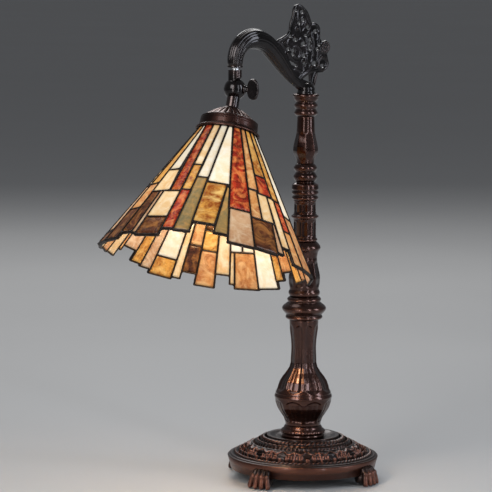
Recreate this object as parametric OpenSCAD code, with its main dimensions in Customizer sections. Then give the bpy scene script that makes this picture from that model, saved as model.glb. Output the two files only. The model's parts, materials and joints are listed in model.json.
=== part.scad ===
// Leaded glass bridge-arm table lamp.
// Millimetres, +Z up. The origin is on the column's axis at the level of the table, and the arm
// reaches towards -X.

/* [Base] */
// Radius of the base
base_r = 81.4; // [78:0.1:90]
// Height of the base casting's lower edge above the table
skirt_z = 11; // [10.5:0.5:12]
// Height at which the skirt turns into the dome
skirt_top = 24; // [22:0.5:25]
// Height of the seat that the column stands on
seat_z = 44.5; // [44:0.1:46]
// Wall of the base casting
base_wall = 4; // [3:0.5:5]
// Polar angle of the first paw foot
foot_angle = 13.2; // [0:0.1:30]

/* [Column and arm] */
// Height of the top of the column
column_top = 412.8; // [412.8:0.1:413.2]
// Radius of the tension pipe that holds the stack together
pipe_r = 4.9; // [4.5:0.1:4.9]
// Reach of the arm, from the column's axis to the shade swivel
arm_reach = 101.3; // [100:0.1:103]
// Height of the arm's lower lip
arm_tip_z = 443.9; // [443:0.1:445]
// Radius of the arm at its tip
arm_r_tip = 8.0; // [7.6:0.1:8.1]
// Radius of the arm over its bend
arm_r_bend = 10.8; // [10:0.1:11]
// Radius of the arm's rail where it meets the column
arm_r_root = 5.2; // [5:0.1:5.6]
// Thickness of the openwork crest
crest_t = 6; // [4:0.5:7]

/* [Swivel] */
// Height of the swivel ball's centre
ball_z = 421.5; // [421:0.1:422]
// Radius of the swivel ball
ball_r = 11.6; // [11.4:0.1:11.8]
// Polar angle that the shade leans towards
lean_angle = 203.65; // [200:0.05:208]
// Tilt of the shade's axis from the vertical
shade_tilt = 21.5; // [18:0.5:25]
// Distance of the parting face from the ball's centre, towards the key
parting = 3.5; // [3:0.1:4]

/* [Shade] */
// Angle of the glass cone to its axis
cone_angle = 30; // [29.5:0.5:30.5]
// Distance of the cone's apex above the ball's centre
apex = 4.5; // [4:0.1:5]
// Distance of the cone's top edge below the ball's centre
cone_top = 48; // [48:0.1:48.4]
// Thickness of the glass
glass_t = 3; // [2.5:0.1:3.2]
// Width of the lead line between two panes
came_w = 1.9; // [1.6:0.1:2.2]
// Thickness of the lead lines
came_t = 4.4; // [4:0.1:4.6]
// Radius of the cap's band
cap_r = 30.4; // [30:0.1:31]

/* [Lamp holder] */
// Radius of the lamp holder's shell
socket_r = 17; // [16:0.5:18]
// Radius of the bulb
bulb_r = 24; // [22:0.5:25]
// Distance of the bulb's tip below the ball's centre
bulb_tip = 146; // [140:1:150]

/* [Hidden] */
$fn = 64;

// Clearances: round pieces that slip over the pipe, and pieces that turn on a pin
slip = 0.2;
running = 0.05;

// Colours of the finishes
bronze = [0.24, 0.12, 0.09];
dark_bronze = [0.17, 0.11, 0.09];
gunmetal = [0.10, 0.10, 0.10];
cap_bronze = [0.30, 0.17, 0.11];
brass = [0.72, 0.56, 0.28];
iron = [0.25, 0.25, 0.26];
lead = [0.16, 0.11, 0.08];

// ---- shared shapes -------------------------------------------------------------------------

// Points from one [z, r] to the next on a half cosine, so that each listed point is a crest or
// a hollow of the turned outline.
ease_steps = 5;
function eased(p, q) = [
    for (i = [0 : ease_steps - 1])
        let (t = i / ease_steps)
        [p[1] + (q[1] - p[1]) * (1 - cos(180 * t)) / 2, p[0] + (q[0] - p[0]) * t]
];
function turned_outline(stops) = [
    for (k = [0 : len(stops) - 2]) each eased(stops[k], stops[k + 1]),
    [stops[len(stops) - 1][1], stops[len(stops) - 1][0]]
];

// A turned piece with a bore, from a list of [z, r] stops, bottom to top.
module turned(stops, bore) {
    outline = turned_outline(stops);
    z0 = stops[0][0];
    z1 = stops[len(stops) - 1][0];
    rotate_extrude() polygon(concat([[bore, z0]], outline, [[bore, z1]]));
}

// Round-bottomed grooves around a turned piece, from z0 to z1.
module flutes(count, at_r, flute_r, z0, z1) {
    for (i = [0 : count - 1])
        rotate([0, 0, (i + 0.5) * 360 / count])
        translate([at_r, 0, 0]) {
            translate([0, 0, z0]) cylinder(r = flute_r, h = z1 - z0, $fn = 24);
            translate([0, 0, z0]) sphere(r = flute_r, $fn = 24);
            translate([0, 0, z1]) sphere(r = flute_r, $fn = 24);
        }
}

module at_ball() translate([-arm_reach, 0, ball_z]) children();

// The shade's own frame: origin at the ball, Z up along the shade's axis, X towards the lean.
// A distance s down the axis is z = -s.
module shade_frame() at_ball() rotate([0, 0, lean_angle]) rotate([0, -shade_tilt, 0]) children();

// The key's frame: Z along the key, away from the ball.
module key_frame() at_ball() rotate([0, 0, lean_angle + 90]) rotate([0, 90, 0]) children();

// A ring, tube or stack in the shade's frame, from outline points [r, s].
module shade_turned(points) rotate_extrude() polygon([for (p = points) [p[0], -p[1]]]);

// ---- base ----------------------------------------------------------------------------------

bolt_circle = 72;
boss_r = 5;
screw_r = 1.6;
cover_t = 1.5;
cover_top = skirt_z + cover_t;
bushing_angle = 61;
bushing_z = 17.8;
bushing_r = 4;
bushing_flange = 1;
dome_stops = [
    [base_r, skirt_top - 6], [base_r - 0.4, skirt_top], [79.6, 25.6], [76.5, 26.9], [72, 29.3],
    [63, 34], [57, 37], [48, 42], [43, 45], [39, 46.8], [35.5, 46.9], [31, 45]
];

module base_outside() {
    rotate_extrude()
        polygon(concat(
            [[pipe_r + slip, skirt_z], [base_r - 1.5, skirt_z], [base_r, skirt_z + 2]],
            dome_stops,
            [[29, seat_z], [pipe_r + slip, seat_z]]
        ));
}

module base_hollow() {
    inner_top = seat_z - base_wall;
    rotate_extrude()
        polygon([
            [0, skirt_z - 1], [base_r - base_wall, skirt_z - 1], [base_r - base_wall, skirt_top - 1],
            [71, 24.6], [62, 30], [47, 37.6], [40, inner_top], [0, inner_top]
        ]);
}

// Copies on the line of each foot, at a given radius
module at_feet(radius = bolt_circle) {
    for (k = [0 : 3])
        rotate([0, 0, foot_angle + 90 * k]) translate([radius, 0, 0]) children();
}

module base_casting() color(dark_bronze) {
    difference() {
        union() {
            difference() {
                base_outside();
                base_hollow();
            }
            at_feet() translate([0, 0, cover_top]) cylinder(r = boss_r, h = 12.5);
        }
        at_feet() translate([0, 0, skirt_z]) cylinder(r = screw_r, h = 10);
        translate([0, 0, seat_z - base_wall - 1]) cylinder(r = pipe_r + slip, h = base_wall + 2);
        rotate([0, 0, bushing_angle])
            translate([base_r - 10, 0, bushing_z])
            rotate([0, 90, 0]) cylinder(r = bushing_r, h = 12);
    }
}

weight_r = 60;
weight_t = 15;
module base_weight() color(iron)
    translate([0, 0, cover_top]) difference() {
        cylinder(r = weight_r, h = weight_t);
        translate([0, 0, -1]) cylinder(r = pipe_r + slip, h = weight_t + 2);
    }

module bottom_cover() color(iron)
    difference() {
        translate([0, 0, skirt_z]) cylinder(r = base_r - base_wall - slip, h = cover_t);
        translate([0, 0, skirt_z - 1]) cylinder(r = pipe_r + slip, h = cover_t + 2);
        at_feet() translate([0, 0, skirt_z - 1]) cylinder(r = screw_r + slip, h = cover_t + 2);
    }

// One paw: four toes that run down the skirt's outside, and a pad below the skirt. A blind hole
// in its underside takes the stem of a glide.
glide_circle = 79;
glide_r = 2;
glide_depth = 6;
toe_r = 3.4;
toe_pitch = 7.2;
module paw_foot(k) color(dark_bronze)
    difference() {
        rotate([0, 0, foot_angle + 90 * k]) {
            for (i = [-1.5 : 1 : 1.5]) {
                y = i * toe_pitch;
                back = abs(i) * 1.1;
                hull() {
                    translate([80.5 - back, y * 0.62, 19.5]) sphere(r = toe_r * 0.8, $fn = 12);
                    translate([86 - back, y * 0.86, 10]) sphere(r = toe_r, $fn = 12);
                    translate([88 - back, y, 3.7]) sphere(r = toe_r, $fn = 12);
                }
            }
            hull() {
                translate([66, -9.5, 0]) cube([17, 19, 1]);
                translate([67.5, -9.5, skirt_z - 1]) cube([16, 19, 1]);
            }
        }
        translate([0, 0, skirt_z]) cylinder(r = base_r, h = 20, $fn = 96);
        translate([0, 0, -10]) cylinder(r = 2 * base_r, h = 10);
        at_feet() translate([0, 0, -1]) cylinder(r = screw_r + slip, h = skirt_z + 2);
        at_feet() translate([0, 0, -1]) cylinder(r = 3.6, h = 4.2);
        at_feet(glide_circle) translate([0, 0, -1]) cylinder(r = glide_r, h = glide_depth + 1);
    }

screw_head_z = 1;
screw_seat_z = 3.2;
module foot_screws() color(iron)
    at_feet() {
        translate([0, 0, screw_head_z]) cylinder(r = 3.2, h = screw_seat_z - screw_head_z);
        translate([0, 0, screw_head_z]) cylinder(r = screw_r, h = 19);
    }

module cord_bushing() color(gunmetal)
    rotate([0, 0, bushing_angle])
        translate([base_r - base_wall - 1, 0, bushing_z])
        rotate([0, 90, 0])
        difference() {
            union() {
                cylinder(r = bushing_r, h = base_wall + 1);
                translate([0, 0, -1]) cylinder(r = bushing_r + bushing_flange, h = 1.4);
                translate([0, 0, base_wall + 1]) cylinder(r = bushing_r + bushing_flange, h = 1.2);
            }
            translate([0, 0, -2]) cylinder(r = 2.6, h = 10);
        }

// ---- column --------------------------------------------------------------------------------

pipe_bore = 3.4;
pipe_foot = 3.5;
pipe_head = 421;
nut_t = 5;
washer_t = 1.5;

module tension_pipe() color(brass)
    difference() {
        translate([0, 0, pipe_foot]) cylinder(r = pipe_r, h = pipe_head - pipe_foot);
        translate([0, 0, pipe_foot - 1]) cylinder(r = pipe_bore, h = pipe_head - pipe_foot + 2);
    }

module pipe_nut() color(brass)
    translate([0, 0, skirt_z - washer_t - nut_t]) difference() {
        cylinder(r = 9, h = nut_t, $fn = 6);
        translate([0, 0, -1]) cylinder(r = pipe_r, h = nut_t + 2, $fn = 64);
    }

module pipe_washer() color(iron)
    translate([0, 0, skirt_z - washer_t]) difference() {
        cylinder(r = 12, h = washer_t);
        translate([0, 0, -1]) cylinder(r = pipe_r + slip, h = washer_t + 2);
    }

foot_top = 57.2;
lower_top = 171.5;
torus_top = 196.6;
middle_top = 255.5;
sleeve_top = 299.6;
rings_top = 339;
vase_top = 389;

module column_foot() color(bronze)
    turned([
        [seat_z, 22.4], [46.3, 23.4], [48, 22.8], [50.6, 24.3], [54.5, 19.6], [foot_top, 18.8]
    ], pipe_r + slip);

module column_lower() color(bronze)
    difference() {
        turned([
            [foot_top, 18.8], [60, 19], [88.1, 30.5], [100, 26], [125, 13.6], [142, 13.0],
            [lower_top, 15.6]
        ], pipe_r + slip);
        flutes(8, 16.6, 4.2, 130, 160);
    }

module column_torus() color(bronze)
    turned([
        [lower_top, 17.2], [174, 19.9], [176.8, 18.6], [183.6, 23.7], [190.4, 17.0], [193.2, 18.3],
        [torus_top, 15.2]
    ], pipe_r + slip);

module column_middle() color(bronze)
    difference() {
        turned([
            [torus_top, 15.2], [200.2, 16.9], [203.6, 15.6], [214, 17.0], [238, 13.4],
            [243, 14.2], [248.8, 17.1], [middle_top, 12.6]
        ], pipe_r + slip);
        flutes(8, 19.4, 4.2, 212, 226);
    }

module column_sleeve() color(bronze)
    difference() {
        turned([
            [middle_top, 12.6], [257.6, 13.6], [260, 12.2], [278.8, 12.2], [282.3, 14.7],
            [285.4, 11.8], [297.7, 11.7], [sleeve_top, 12.4]
        ], pipe_r + slip);
        flutes(12, 13.1, 1.5, 263.5, 276);
        flutes(12, 12.7, 1.5, 288.5, 294.5);
    }

module column_rings() color(bronze)
    turned([
        [sleeve_top, 12.4], [302.1, 14.1], [304.8, 12.6], [307.7, 14.3], [310.4, 13.2],
        [311.6, 14.3], [315.7, 14.0], [318.9, 9.7], [324.6, 12.7], [329.6, 9.9], [334.2, 12.5],
        [rings_top, 9.3]
    ], pipe_r + slip);

module column_vase() color(bronze)
    turned([
        [rings_top, 9.3], [341, 9.3], [352.5, 13.4], [376, 9.5], [vase_top, 9.1]
    ], pipe_r + slip);

module column_capital() color(bronze)
    turned([
        [vase_top, 9.1], [392.6, 12.6], [396.8, 10.6], [401, 12.6], [404.2, 10.3],
        [409, 12.6], [411, 14.0], [column_top, 13.8]
    ], pipe_r + slip);

// ---- arm -----------------------------------------------------------------------------------

// The arm's centreline in the plane y = 0: up from the tip, over two arcs that share a crown, and
// down a slack curve, thinning to a rail, into the socket on top of the column.
bend_r = 23.5;
crown_r = 38;
descent = 42;
bend_x = -arm_reach + bend_r;
bend_z = 449.5;
crown_z = bend_z + bend_r;
run_start = [bend_x + crown_r * sin(descent), crown_z - crown_r * (1 - cos(descent))];
run_end = [2, column_top + 5.8];
run_end_slope = 12;
run_1 = run_start + 30 * [cos(descent), -sin(descent)];
run_2 = run_end - 24 * [cos(run_end_slope), -sin(run_end_slope)];
function bezier(t) = pow(1 - t, 3) * run_start + 3 * t * pow(1 - t, 2) * run_1
    + 3 * t * t * (1 - t) * run_2 + pow(t, 3) * run_end;
function bezier_slope(t) = 3 * pow(1 - t, 2) * (run_1 - run_start)
    + 6 * t * (1 - t) * (run_2 - run_1) + 3 * t * t * (run_end - run_2);

// Stations [x, z, heading, radius]: heading 90 is straight up and -42 is down the run.
run_r = 9.8;
arm_stations = concat(
    [[-arm_reach, arm_tip_z, 90, arm_r_tip]],
    [for (a = [90 : -11.25 : 0]) [
        bend_x - bend_r * sin(a), bend_z + bend_r * cos(a), a,
        arm_r_tip + (arm_r_bend - arm_r_tip) * (90 - a) / 90
    ]],
    [for (k = [1 : 5]) let (a = descent * k / 5) [
        bend_x + crown_r * sin(a), crown_z - crown_r * (1 - cos(a)), -a,
        arm_r_bend + (run_r - arm_r_bend) * k / 5
    ]],
    [for (k = [1 : 8]) let (t = k / 8, p = bezier(t), d = bezier_slope(t)) [
        p[0], p[1], atan2(d[1], d[0]),
        run_r + (arm_r_root - run_r) * (1 - cos(180 * min(1, 1.15 * t))) / 2
    ]]
);

// Eight shallow ridges run along the arm.
ridge = 0.35;
section_points = 32;
function arm_ring(s) = [
    for (i = [0 : section_points - 1])
        let (
            a = i * 360 / section_points,
            r = s[3] - ridge + ridge * cos(8 * a),
            across = r * cos(a)
        )
        [s[0] - across * sin(s[2]), r * sin(a), s[1] + across * cos(s[2])]
];

module arm_tube() {
    n = section_points;
    last = len(arm_stations) - 1;
    centres = [for (s = [arm_stations[0], arm_stations[last]]) [s[0], 0, s[1]]];
    first_centre = (last + 1) * n;
    sides = [for (k = [0 : last - 1], i = [0 : n - 1])
        let (j = (i + 1) % n, a = k * n, b = a + n)
        each [[a + i, b + j, b + i], [a + i, a + j, b + j]]];
    caps = [for (i = [0 : n - 1])
        let (j = (i + 1) % n, b = last * n)
        each [[j, i, first_centre], [b + i, b + j, first_centre + 1]]];
    polyhedron(
        points = concat([for (s = arm_stations) each arm_ring(s)], centres),
        faces = concat(sides, caps)
    );
}

nipple_r = 4.8;
nipple_bore = 3;
lip_r = 8.15;
// The socket that the arm stands on the column with, as [radius, height above the column]
socket_outline = [
    [0, 0], [10.2, 0], [10.2, 1.6], [9.4, 2.6], [9.4, 6], [8.6, 8.6], [6.4, 11], [0, 12]
];
module bridge_arm() color(gunmetal)
    difference() {
        union() {
            arm_tube();
            translate([-arm_reach, 0, arm_tip_z]) cylinder(r = lip_r, h = 2.4);
            translate([0, 0, column_top]) rotate_extrude() polygon(socket_outline);
        }
        translate([-40, -20, column_top - 30]) cube([60, 40, 30]);
        translate([0, 0, column_top - 1]) cylinder(r = pipe_r, h = pipe_head - column_top + 1);
        translate([-arm_reach, 0, arm_tip_z - 1]) cylinder(r = nipple_r, h = 9);
    }

// The crest's outline [x, z], clockwise from its tip. It ends inside the arm.
crest_outline = [
    [-12.5, 508.4], [-7, 506.4], [0, 500.8], [3.5, 494], [6.7, 487.5], [10, 488.2], [13, 487.6],
    [17, 485.4], [18.9, 481.4], [18.8, 471.5], [22, 467.6], [26.4, 468.6], [31.5, 467], [34, 462],
    [32.5, 457], [29.4, 454.5], [31, 449], [31, 444.3], [28.4, 438], [23.2, 434.9], [14.8, 434.8],
    [12, 431], [11, 422.4], [9, 417], [4, 416], [-10, 421], [-24, 434], [-33.6, 447], [-52, 464],
    [-46, 466.5], [-40.9, 470.5], [-29.4, 475], [-24.7, 478.6], [-24.5, 484], [-22.6, 490],
    [-18.9, 496.7], [-20.6, 502.6], [-17.5, 506.6]
];
// Round piercings [x, z, radius]
crest_holes = [
    [-17, 501.4, 1.2], [-8.1, 499.7, 1.6], [-6.5, 491, 1.4], [-12.2, 488.1, 1.3],
    [11.5, 478.9, 2.0], [-2.3, 474.7, 1.3], [-17.7, 470.7, 1.7], [-25, 474.4, 1.2],
    [-27.4, 461.1, 1.6], [-4.9, 453.7, 2.0], [10.4, 444.9, 2.4], [22.1, 441.9, 1.7]
];
// Long piercings [from, to, radius]
crest_slots = [
    [[4.1, 471], [3, 459.6], 1.5], [[17.4, 465.2], [14.6, 459.4], 1.3],
    [[-19.7, 461], [-20.8, 455], 1.6], [[-24.4, 447.4], [-16, 443.2], 1.1],
    [[-3.9, 446], [-3.7, 443], 1.1], [[-0.8, 485.2], [1.6, 482.2], 1.5]
];
module crest_plan() {
    difference() {
        offset(r = 1.2, $fn = 16) offset(delta = -1.2) polygon(crest_outline);
        for (h = crest_holes) translate([h[0], h[1]]) circle(r = h[2], $fn = 16);
        for (c = crest_slots)
            hull() for (end = [c[0], c[1]]) translate(end) circle(r = c[2], $fn = 16);
        polygon([[-8.2, 463.6], [-5.4, 469.4], [-2.4, 464]]);
        polygon([[-5.6, 429], [4.2, 425.6], [3.4, 433.4]]);
    }
}

module arm_crest() color(gunmetal)
    difference() {
        rotate([90, 0, 0]) linear_extrude(crest_t, center = true) crest_plan();
        arm_tube();
        translate([0, 0, column_top]) rotate_extrude() polygon(socket_outline);
    }

stem_top = 441.5;
stem_r = 7.1;
module arm_nipple() color(brass)
    translate([-arm_reach, 0, stem_top - 6]) difference() {
        cylinder(r = nipple_r, h = 16);
        translate([0, 0, -1]) cylinder(r = nipple_bore, h = 18);
    }

// ---- swivel --------------------------------------------------------------------------------

washer_gap = 0.8;
key_bore = 2.5;
ball_clear = 0.4;

// The ball's region beyond the parting face, away from the key
half_reach = 30;
module far_side() key_frame() translate([0, 0, parting - half_reach]) cylinder(r = 30, h = half_reach);
// Within this distance of the centre a stem keeps to its own side
stem_free = ball_r + ball_clear;

module swivel_upper() color(gunmetal)
    difference() {
        union() {
            intersection() {
                at_ball() sphere(r = ball_r);
                far_side();
            }
            intersection() {
                translate([-arm_reach, 0, ball_z + 6]) cylinder(r = stem_r, h = stem_free - 6);
                far_side();
            }
            translate([-arm_reach, 0, ball_z + stem_free])
                cylinder(r = stem_r, h = stem_top - ball_z - stem_free);
        }
        translate([-arm_reach, 0, stem_top - 6.5]) cylinder(r = nipple_r + running, h = 8);
        key_frame() translate([0, 0, parting - 9]) cylinder(r = key_bore + running, h = 12);
    }

module swivel_washer() color(brass)
    key_frame() translate([0, 0, parting + 0.1]) difference() {
        cylinder(r = 9, h = washer_gap - 0.2);
        translate([0, 0, -1]) cylinder(r = key_bore + slip, h = 3);
    }

lower_stem_r = 6.75;
cap_top = 20.5;
module swivel_lower() color(gunmetal)
    difference() {
        union() {
            at_ball() sphere(r = ball_r);
            shade_frame() translate([0, 0, -cap_top]) cylinder(r = lower_stem_r, h = cap_top - 8);
        }
        intersection() {
            at_ball() sphere(r = stem_free);
            key_frame() translate([0, 0, parting + washer_gap - half_reach])
                cylinder(r = 20, h = half_reach);
        }
        shade_frame() translate([0, 0, -cap_top - 1]) cylinder(r = nipple_r, h = 6.5);
        key_frame() cylinder(r = key_bore + running, h = 20);
        key_frame() translate([0, 0, ball_r - 1.4]) cylinder(r = 6, h = 5);
    }

// The thumb key: a shaft with a collar, and a flat oval wing.
key_wing_w = 22;
key_wing_t = 3.6;
wing_mid = 20.5;
module swivel_key() color(gunmetal)
    key_frame() {
        translate([0, 0, parting - 8]) cylinder(r = key_bore, h = wing_mid - parting + 6);
        translate([0, 0, ball_r - 1.1]) cylinder(r = 4.4, h = 2.2);
        intersection() {
            translate([0, 0, wing_mid]) rotate([0, 90, 90])
                translate([0, 0, -key_wing_t / 2])
                cylinder(r = key_wing_w / 2, h = key_wing_t);
            translate([-20, -10, wing_mid - 6.6]) cube([40, 20, 13.2]);
        }
    }

// ---- shade: cap and fittings ---------------------------------------------------------------

nipple_end = 51;
module shade_nipple() color(brass)
    shade_frame() translate([0, 0, -nipple_end]) difference() {
        cylinder(r = nipple_r, h = nipple_end - 15.2);
        translate([0, 0, -1]) cylinder(r = nipple_bore, h = nipple_end);
    }

band_top = 34.8;
band_foot = 45.5;
lip_foot = 48.8;
cap_wall = 1.4;
module shade_cap() color(cap_bronze)
    shade_frame() difference() {
        shade_turned([
            [nipple_r + slip, cap_top], [7.6, cap_top], [9.5, 22.2], [15, 24.6], [20, 27.8],
            [25, 31.6], [28.4, band_top - 1], [cap_r - 0.6, band_top], [cap_r - 0.6, band_top + 1.2],
            [cap_r - 0.2, band_top + 1.2], [cap_r + 0.3, band_foot], [33, band_foot + 1],
            [33.6, band_foot + 2.2], [33.4, lip_foot], [32.2, lip_foot], [32, band_foot + 1.6],
            [cap_r - cap_wall, band_foot + 0.8], [cap_r - cap_wall - 0.6, band_top + 1.6],
            [24, 32.8], [19, 29], [14, 26], [9, 24], [nipple_r + slip, 24]
        ]);
        // Radial grooves on the dome
        for (i = [0 : 23])
            rotate([0, 0, i * 15]) translate([11, 0, -21.6])
            rotate([0, 90 + 33, 0]) cylinder(r = 0.8, h = 17, $fn = 16);
    }

module hex_nut(s, r, t)
    translate([0, 0, -s - t]) difference() {
        cylinder(r = r, h = t, $fn = 6);
        translate([0, 0, -1]) cylinder(r = nipple_r, h = t + 2, $fn = 64);
    }

plate_s = 42.4;
plate_t = 1.6;
module cap_locknuts() color(brass)
    shade_frame() {
        hex_nut(24, 8, 3.5);
        hex_nut(plate_s + plate_t, 8, 3.5);
    }

ring_in = 24.6;
ring_out = 26.2;
module inner_plate() color(brass)
    shade_frame() difference() {
        translate([0, 0, -plate_s - plate_t]) cylinder(r = ring_out, h = plate_t);
        translate([0, 0, -plate_s - plate_t - 1]) cylinder(r = nipple_r + slip, h = plate_t + 2);
        for (i = [0 : 7])
            rotate([0, 0, 45 * i]) translate([16, 0, -plate_s - plate_t - 1])
            cylinder(r = 3.2, h = plate_t + 2);
    }

module fitter_ring() color(brass)
    shade_frame() translate([0, 0, -53]) difference() {
        cylinder(r = ring_out, h = 53 - plate_s - plate_t);
        translate([0, 0, -1]) cylinder(r = ring_in, h = 20);
    }

// ---- shade: glass and lead -----------------------------------------------------------------

// Each column of panes is [angle and angle at its top, angle and angle at its foot, distance of
// its top, then [distance of the pane's foot, glass] for each pane down the column]. Angles run
// round the shade's axis from the lean side.
upper_columns = [
    [10, 25, 6, 16, cone_top, [[115, "white"]]],
    [25, 34.5, 16, 34.5, cone_top, [[120, "white"]]],
    [34.5, 50, 34.5, 50, cone_top, [[146.5, "red"]]],
    [50, 60, 50, 60, cone_top, [[118, "orange"]]],
    [60, 72, 60, 75, cone_top, [[99.5, "amber"], [120.5, "red"]]],
    [72, 85, 75, 85, cone_top, [[121.8, "amber"]]],
    [85, 100, 85, 100, cone_top, [[135, "white"]]],
    [100, 112, 100, 112, cone_top, [[96, "cream"], [128, "orange"]]],
    [112, 125, 112, 125, cone_top, [[118, "amber"]]],
    [125, 140.5, 125, 140.5, cone_top, [[104, "white"], [138, "olive"]]],
    [140.5, 158, 140.5, 158, cone_top, [[124, "red"]]],
    [158, 172, 158, 172, cone_top, [[92, "amber"], [130, "cream"]]],
    [172, 190, 172, 190, cone_top, [[118, "rose"]]],
    [190, 210, 190, 210, cone_top, [[108, "orange"], [134, "brown"]]],
    [210, 224, 210, 224, cone_top, [[122, "white"]]],
    [224, 238, 224, 238, cone_top, [[140, "red"]]],
    [238, 253.5, 238, 253.5, cone_top, [[100, "cream"], [119, "amber"]]],
    [253.5, 270, 253.5, 270, cone_top, [[136, "white"]]],
    [270, 280, 270, 280, cone_top, [[126, "olive"]]],
    [280, 300, 280, 300, cone_top, [[98, "rose"], [121, "orange"]]],
    [300, 315, 300, 317, cone_top, [[99, "rose"], [121, "cream"]]],
    [315, 330, 317, 331, cone_top, [[122, "amber"]]],
    [330, 337, 331, 349, cone_top, [[106, "white"], [133.5, "cream"]]],
    [337, 355, 349, 358, cone_top, [[133.5, "red"]]],
    [355, 370, 358, 365.5, cone_top, [[100, "cream"], [131.5, "amber"]]]
];
lower_columns = [
    [6, 15.5, 5, 14, 115, [[180.5, "olive"]]],
    [15.5, 32.4, 14, 27, 120, [[169, "amber"]]],
    [32.4, 34.5, 27, 35, 120, [[178.3, "olive"]]],
    [35, 50, 35, 50, 146.5, [[186, "rose"]]],
    [50, 58.5, 50, 58.5, 118.5, [[151, "orange"]]],
    [58.5, 68.8, 58.5, 68.8, 120.5, [[151, "cream"]]],
    [50, 66.4, 50, 65, 151, [[185.5, "brown"]]],
    [66.4, 68.8, 65, 70, 151, [[183, "rose"]]],
    [68.8, 77, 70, 77, 121, [[174.5, "cream"]]],
    [77, 85, 77, 85.5, 122, [[154, "red"], [189, "orange"]]],
    [85, 100, 85.5, 100, 135, [[189, "orange"]]],
    [100, 112, 100, 112, 128, [[158, "olive"], [184, "amber"]]],
    [112, 125, 112, 125, 118, [[165, "cream"], [187, "orange"]]],
    [125, 132, 125, 132, 138, [[182, "orange"]]],
    [132, 140.5, 132, 140.5, 138, [[182, "amber"]]],
    [140.5, 151.5, 140.5, 151.5, 124, [[170.5, "orange"]]],
    [151.5, 158, 151.5, 158, 124, [[177.6, "amber"]]],
    [158, 172, 158, 172, 130, [[185, "white"]]],
    [172, 181, 172, 181, 118, [[151.4, "white"]]],
    [181, 190, 181, 190, 118, [[151.4, "white"]]],
    [172, 187, 172, 187, 151.4, [[186, "orange"]]],
    [187, 190, 187, 190, 151.4, [[182, "cream"]]],
    [190, 199, 190, 199, 134, [[174, "cream"]]],
    [199, 210, 199, 210, 134, [[153.3, "amber"], [187.5, "orange"]]],
    [210, 219, 210, 219, 122, [[150, "orange"], [177, "brown"]]],
    [219, 224, 219, 224, 122, [[184.4, "cream"]]],
    [224, 238, 224, 238, 140, [[168, "white"], [186.5, "amber"]]],
    [238, 245.5, 238, 245.5, 119, [[182.8, "rose"]]],
    [245.5, 253.5, 245.5, 253.5, 119, [[181, "amber"]]],
    [253.5, 267, 253.5, 267, 136, [[171, "rose"]]],
    [267, 270, 267, 270, 136, [[176, "orange"]]],
    [270, 280, 270, 280, 126, [[184, "cream"]]],
    [280, 291, 280, 291, 121, [[185, "orange"]]],
    [291, 306, 291, 306, 121, [[160, "amber"], [187, "cream"]]],
    [306, 317, 306, 319, 121, [[177, "rose"], [190.5, "brown"]]],
    [317, 331, 319, 331, 122, [[153, "orange"], [190.5, "brown"]]],
    [331, 340, 331, 340, 133.5, [[184, "brown"]]],
    [340, 343.5, 340, 343.5, 133.5, [[185.5, "rose"]]],
    [343.5, 358, 343.5, 358, 133.5, [[166, "cream"], [188, "brown"]]],
    [358, 366, 358, 365, 131.5, [[179.5, "red"]]]
];

function mix(a, b, t) = a + (b - a) * t;
function cone_radius(s) = (s + apex) * tan(cone_angle);

// A column cut into panes [angle, angle at the top, angle, angle at the foot, top, foot, glass].
function column_panes(c) =
    let (s0 = c[4], s1 = c[5][len(c[5]) - 1][0])
    [for (k = [0 : len(c[5]) - 1])
        let (
            from = k == 0 ? s0 : c[5][k - 1][0],
            to = c[5][k][0],
            t0 = (from - s0) / (s1 - s0),
            t1 = (to - s0) / (s1 - s0)
        )
        [mix(c[0], c[2], t0), mix(c[1], c[3], t0), mix(c[0], c[2], t1), mix(c[1], c[3], t1),
            from, to, c[5][k][1]]
    ];
panes = [for (c = concat(upper_columns, lower_columns)) each column_panes(c)];
function pane_middle(p) = (p[0] + p[1] + p[2] + p[3]) / 4;

// A point of the cone in the pane's flat frame: [down the slope, across].
function flat_point(s, angle, middle) =
    let (r = cone_radius(s))
    [r * cos(angle - middle) * sin(cone_angle) + s * cos(cone_angle), r * sin(angle - middle)];
// The flat pane lies a little inside the cone, because its four corners are on it.
function sagitta(p) =
    let (half = (p[1] - p[0] + p[3] - p[2]) / 4)
    cone_radius((p[4] + p[5]) / 2) * (1 - cos(half)) * cos(cone_angle);
function pane_level(p) = apex * sin(cone_angle) - sagitta(p) / 2;

// The pane's outline, grown by a margin on every side (negative for a smaller pane).
function pane_outline(p, margin) =
    let (
        m = pane_middle(p),
        a = flat_point(p[4], p[0], m),
        b = flat_point(p[4], p[1], m),
        c = flat_point(p[5], p[3], m),
        d = flat_point(p[5], p[2], m)
    )
    [
        [a[0] - margin, a[1] - margin], [b[0] - margin, b[1] + margin],
        [c[0] + margin, c[1] + margin], [d[0] + margin, d[1] - margin]
    ];

// A flat slab on the pane's plane, from low to high across the thickness.
module pane_slab(p, margin, low, high)
    rotate([0, 0, pane_middle(p)]) rotate([0, 90 - cone_angle, 0])
    translate([0, 0, pane_level(p) + low])
    linear_extrude(high - low) polygon(pane_outline(p, margin));

came_proud = (came_t - glass_t) / 2;
foil_gap = 0.05;
weld = 0.35;
module glass(kind, tint) color(tint)
    shade_frame()
    for (p = panes)
        if (p[6] == kind) pane_slab(p, -came_w / 2, -glass_t, 0);

module came_lattice() color(lead)
    shade_frame() difference() {
        for (p = panes)
            hull() {
                pane_slab(p, weld, -glass_t, 0);
                pane_slab(p, -came_w / 4, -glass_t - came_proud, came_proud);
            }
        for (p = panes) pane_slab(p, foil_gap - came_w / 2, -2 * came_t, came_t);
    }

// ---- lamp holder and bulb ------------------------------------------------------------------

socket_top = 48.2;
shell_top = 55;
shell_foot = 83;
knob_s = 66;
bulb_mid = bulb_tip - bulb_r;
contact = 60;

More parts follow.
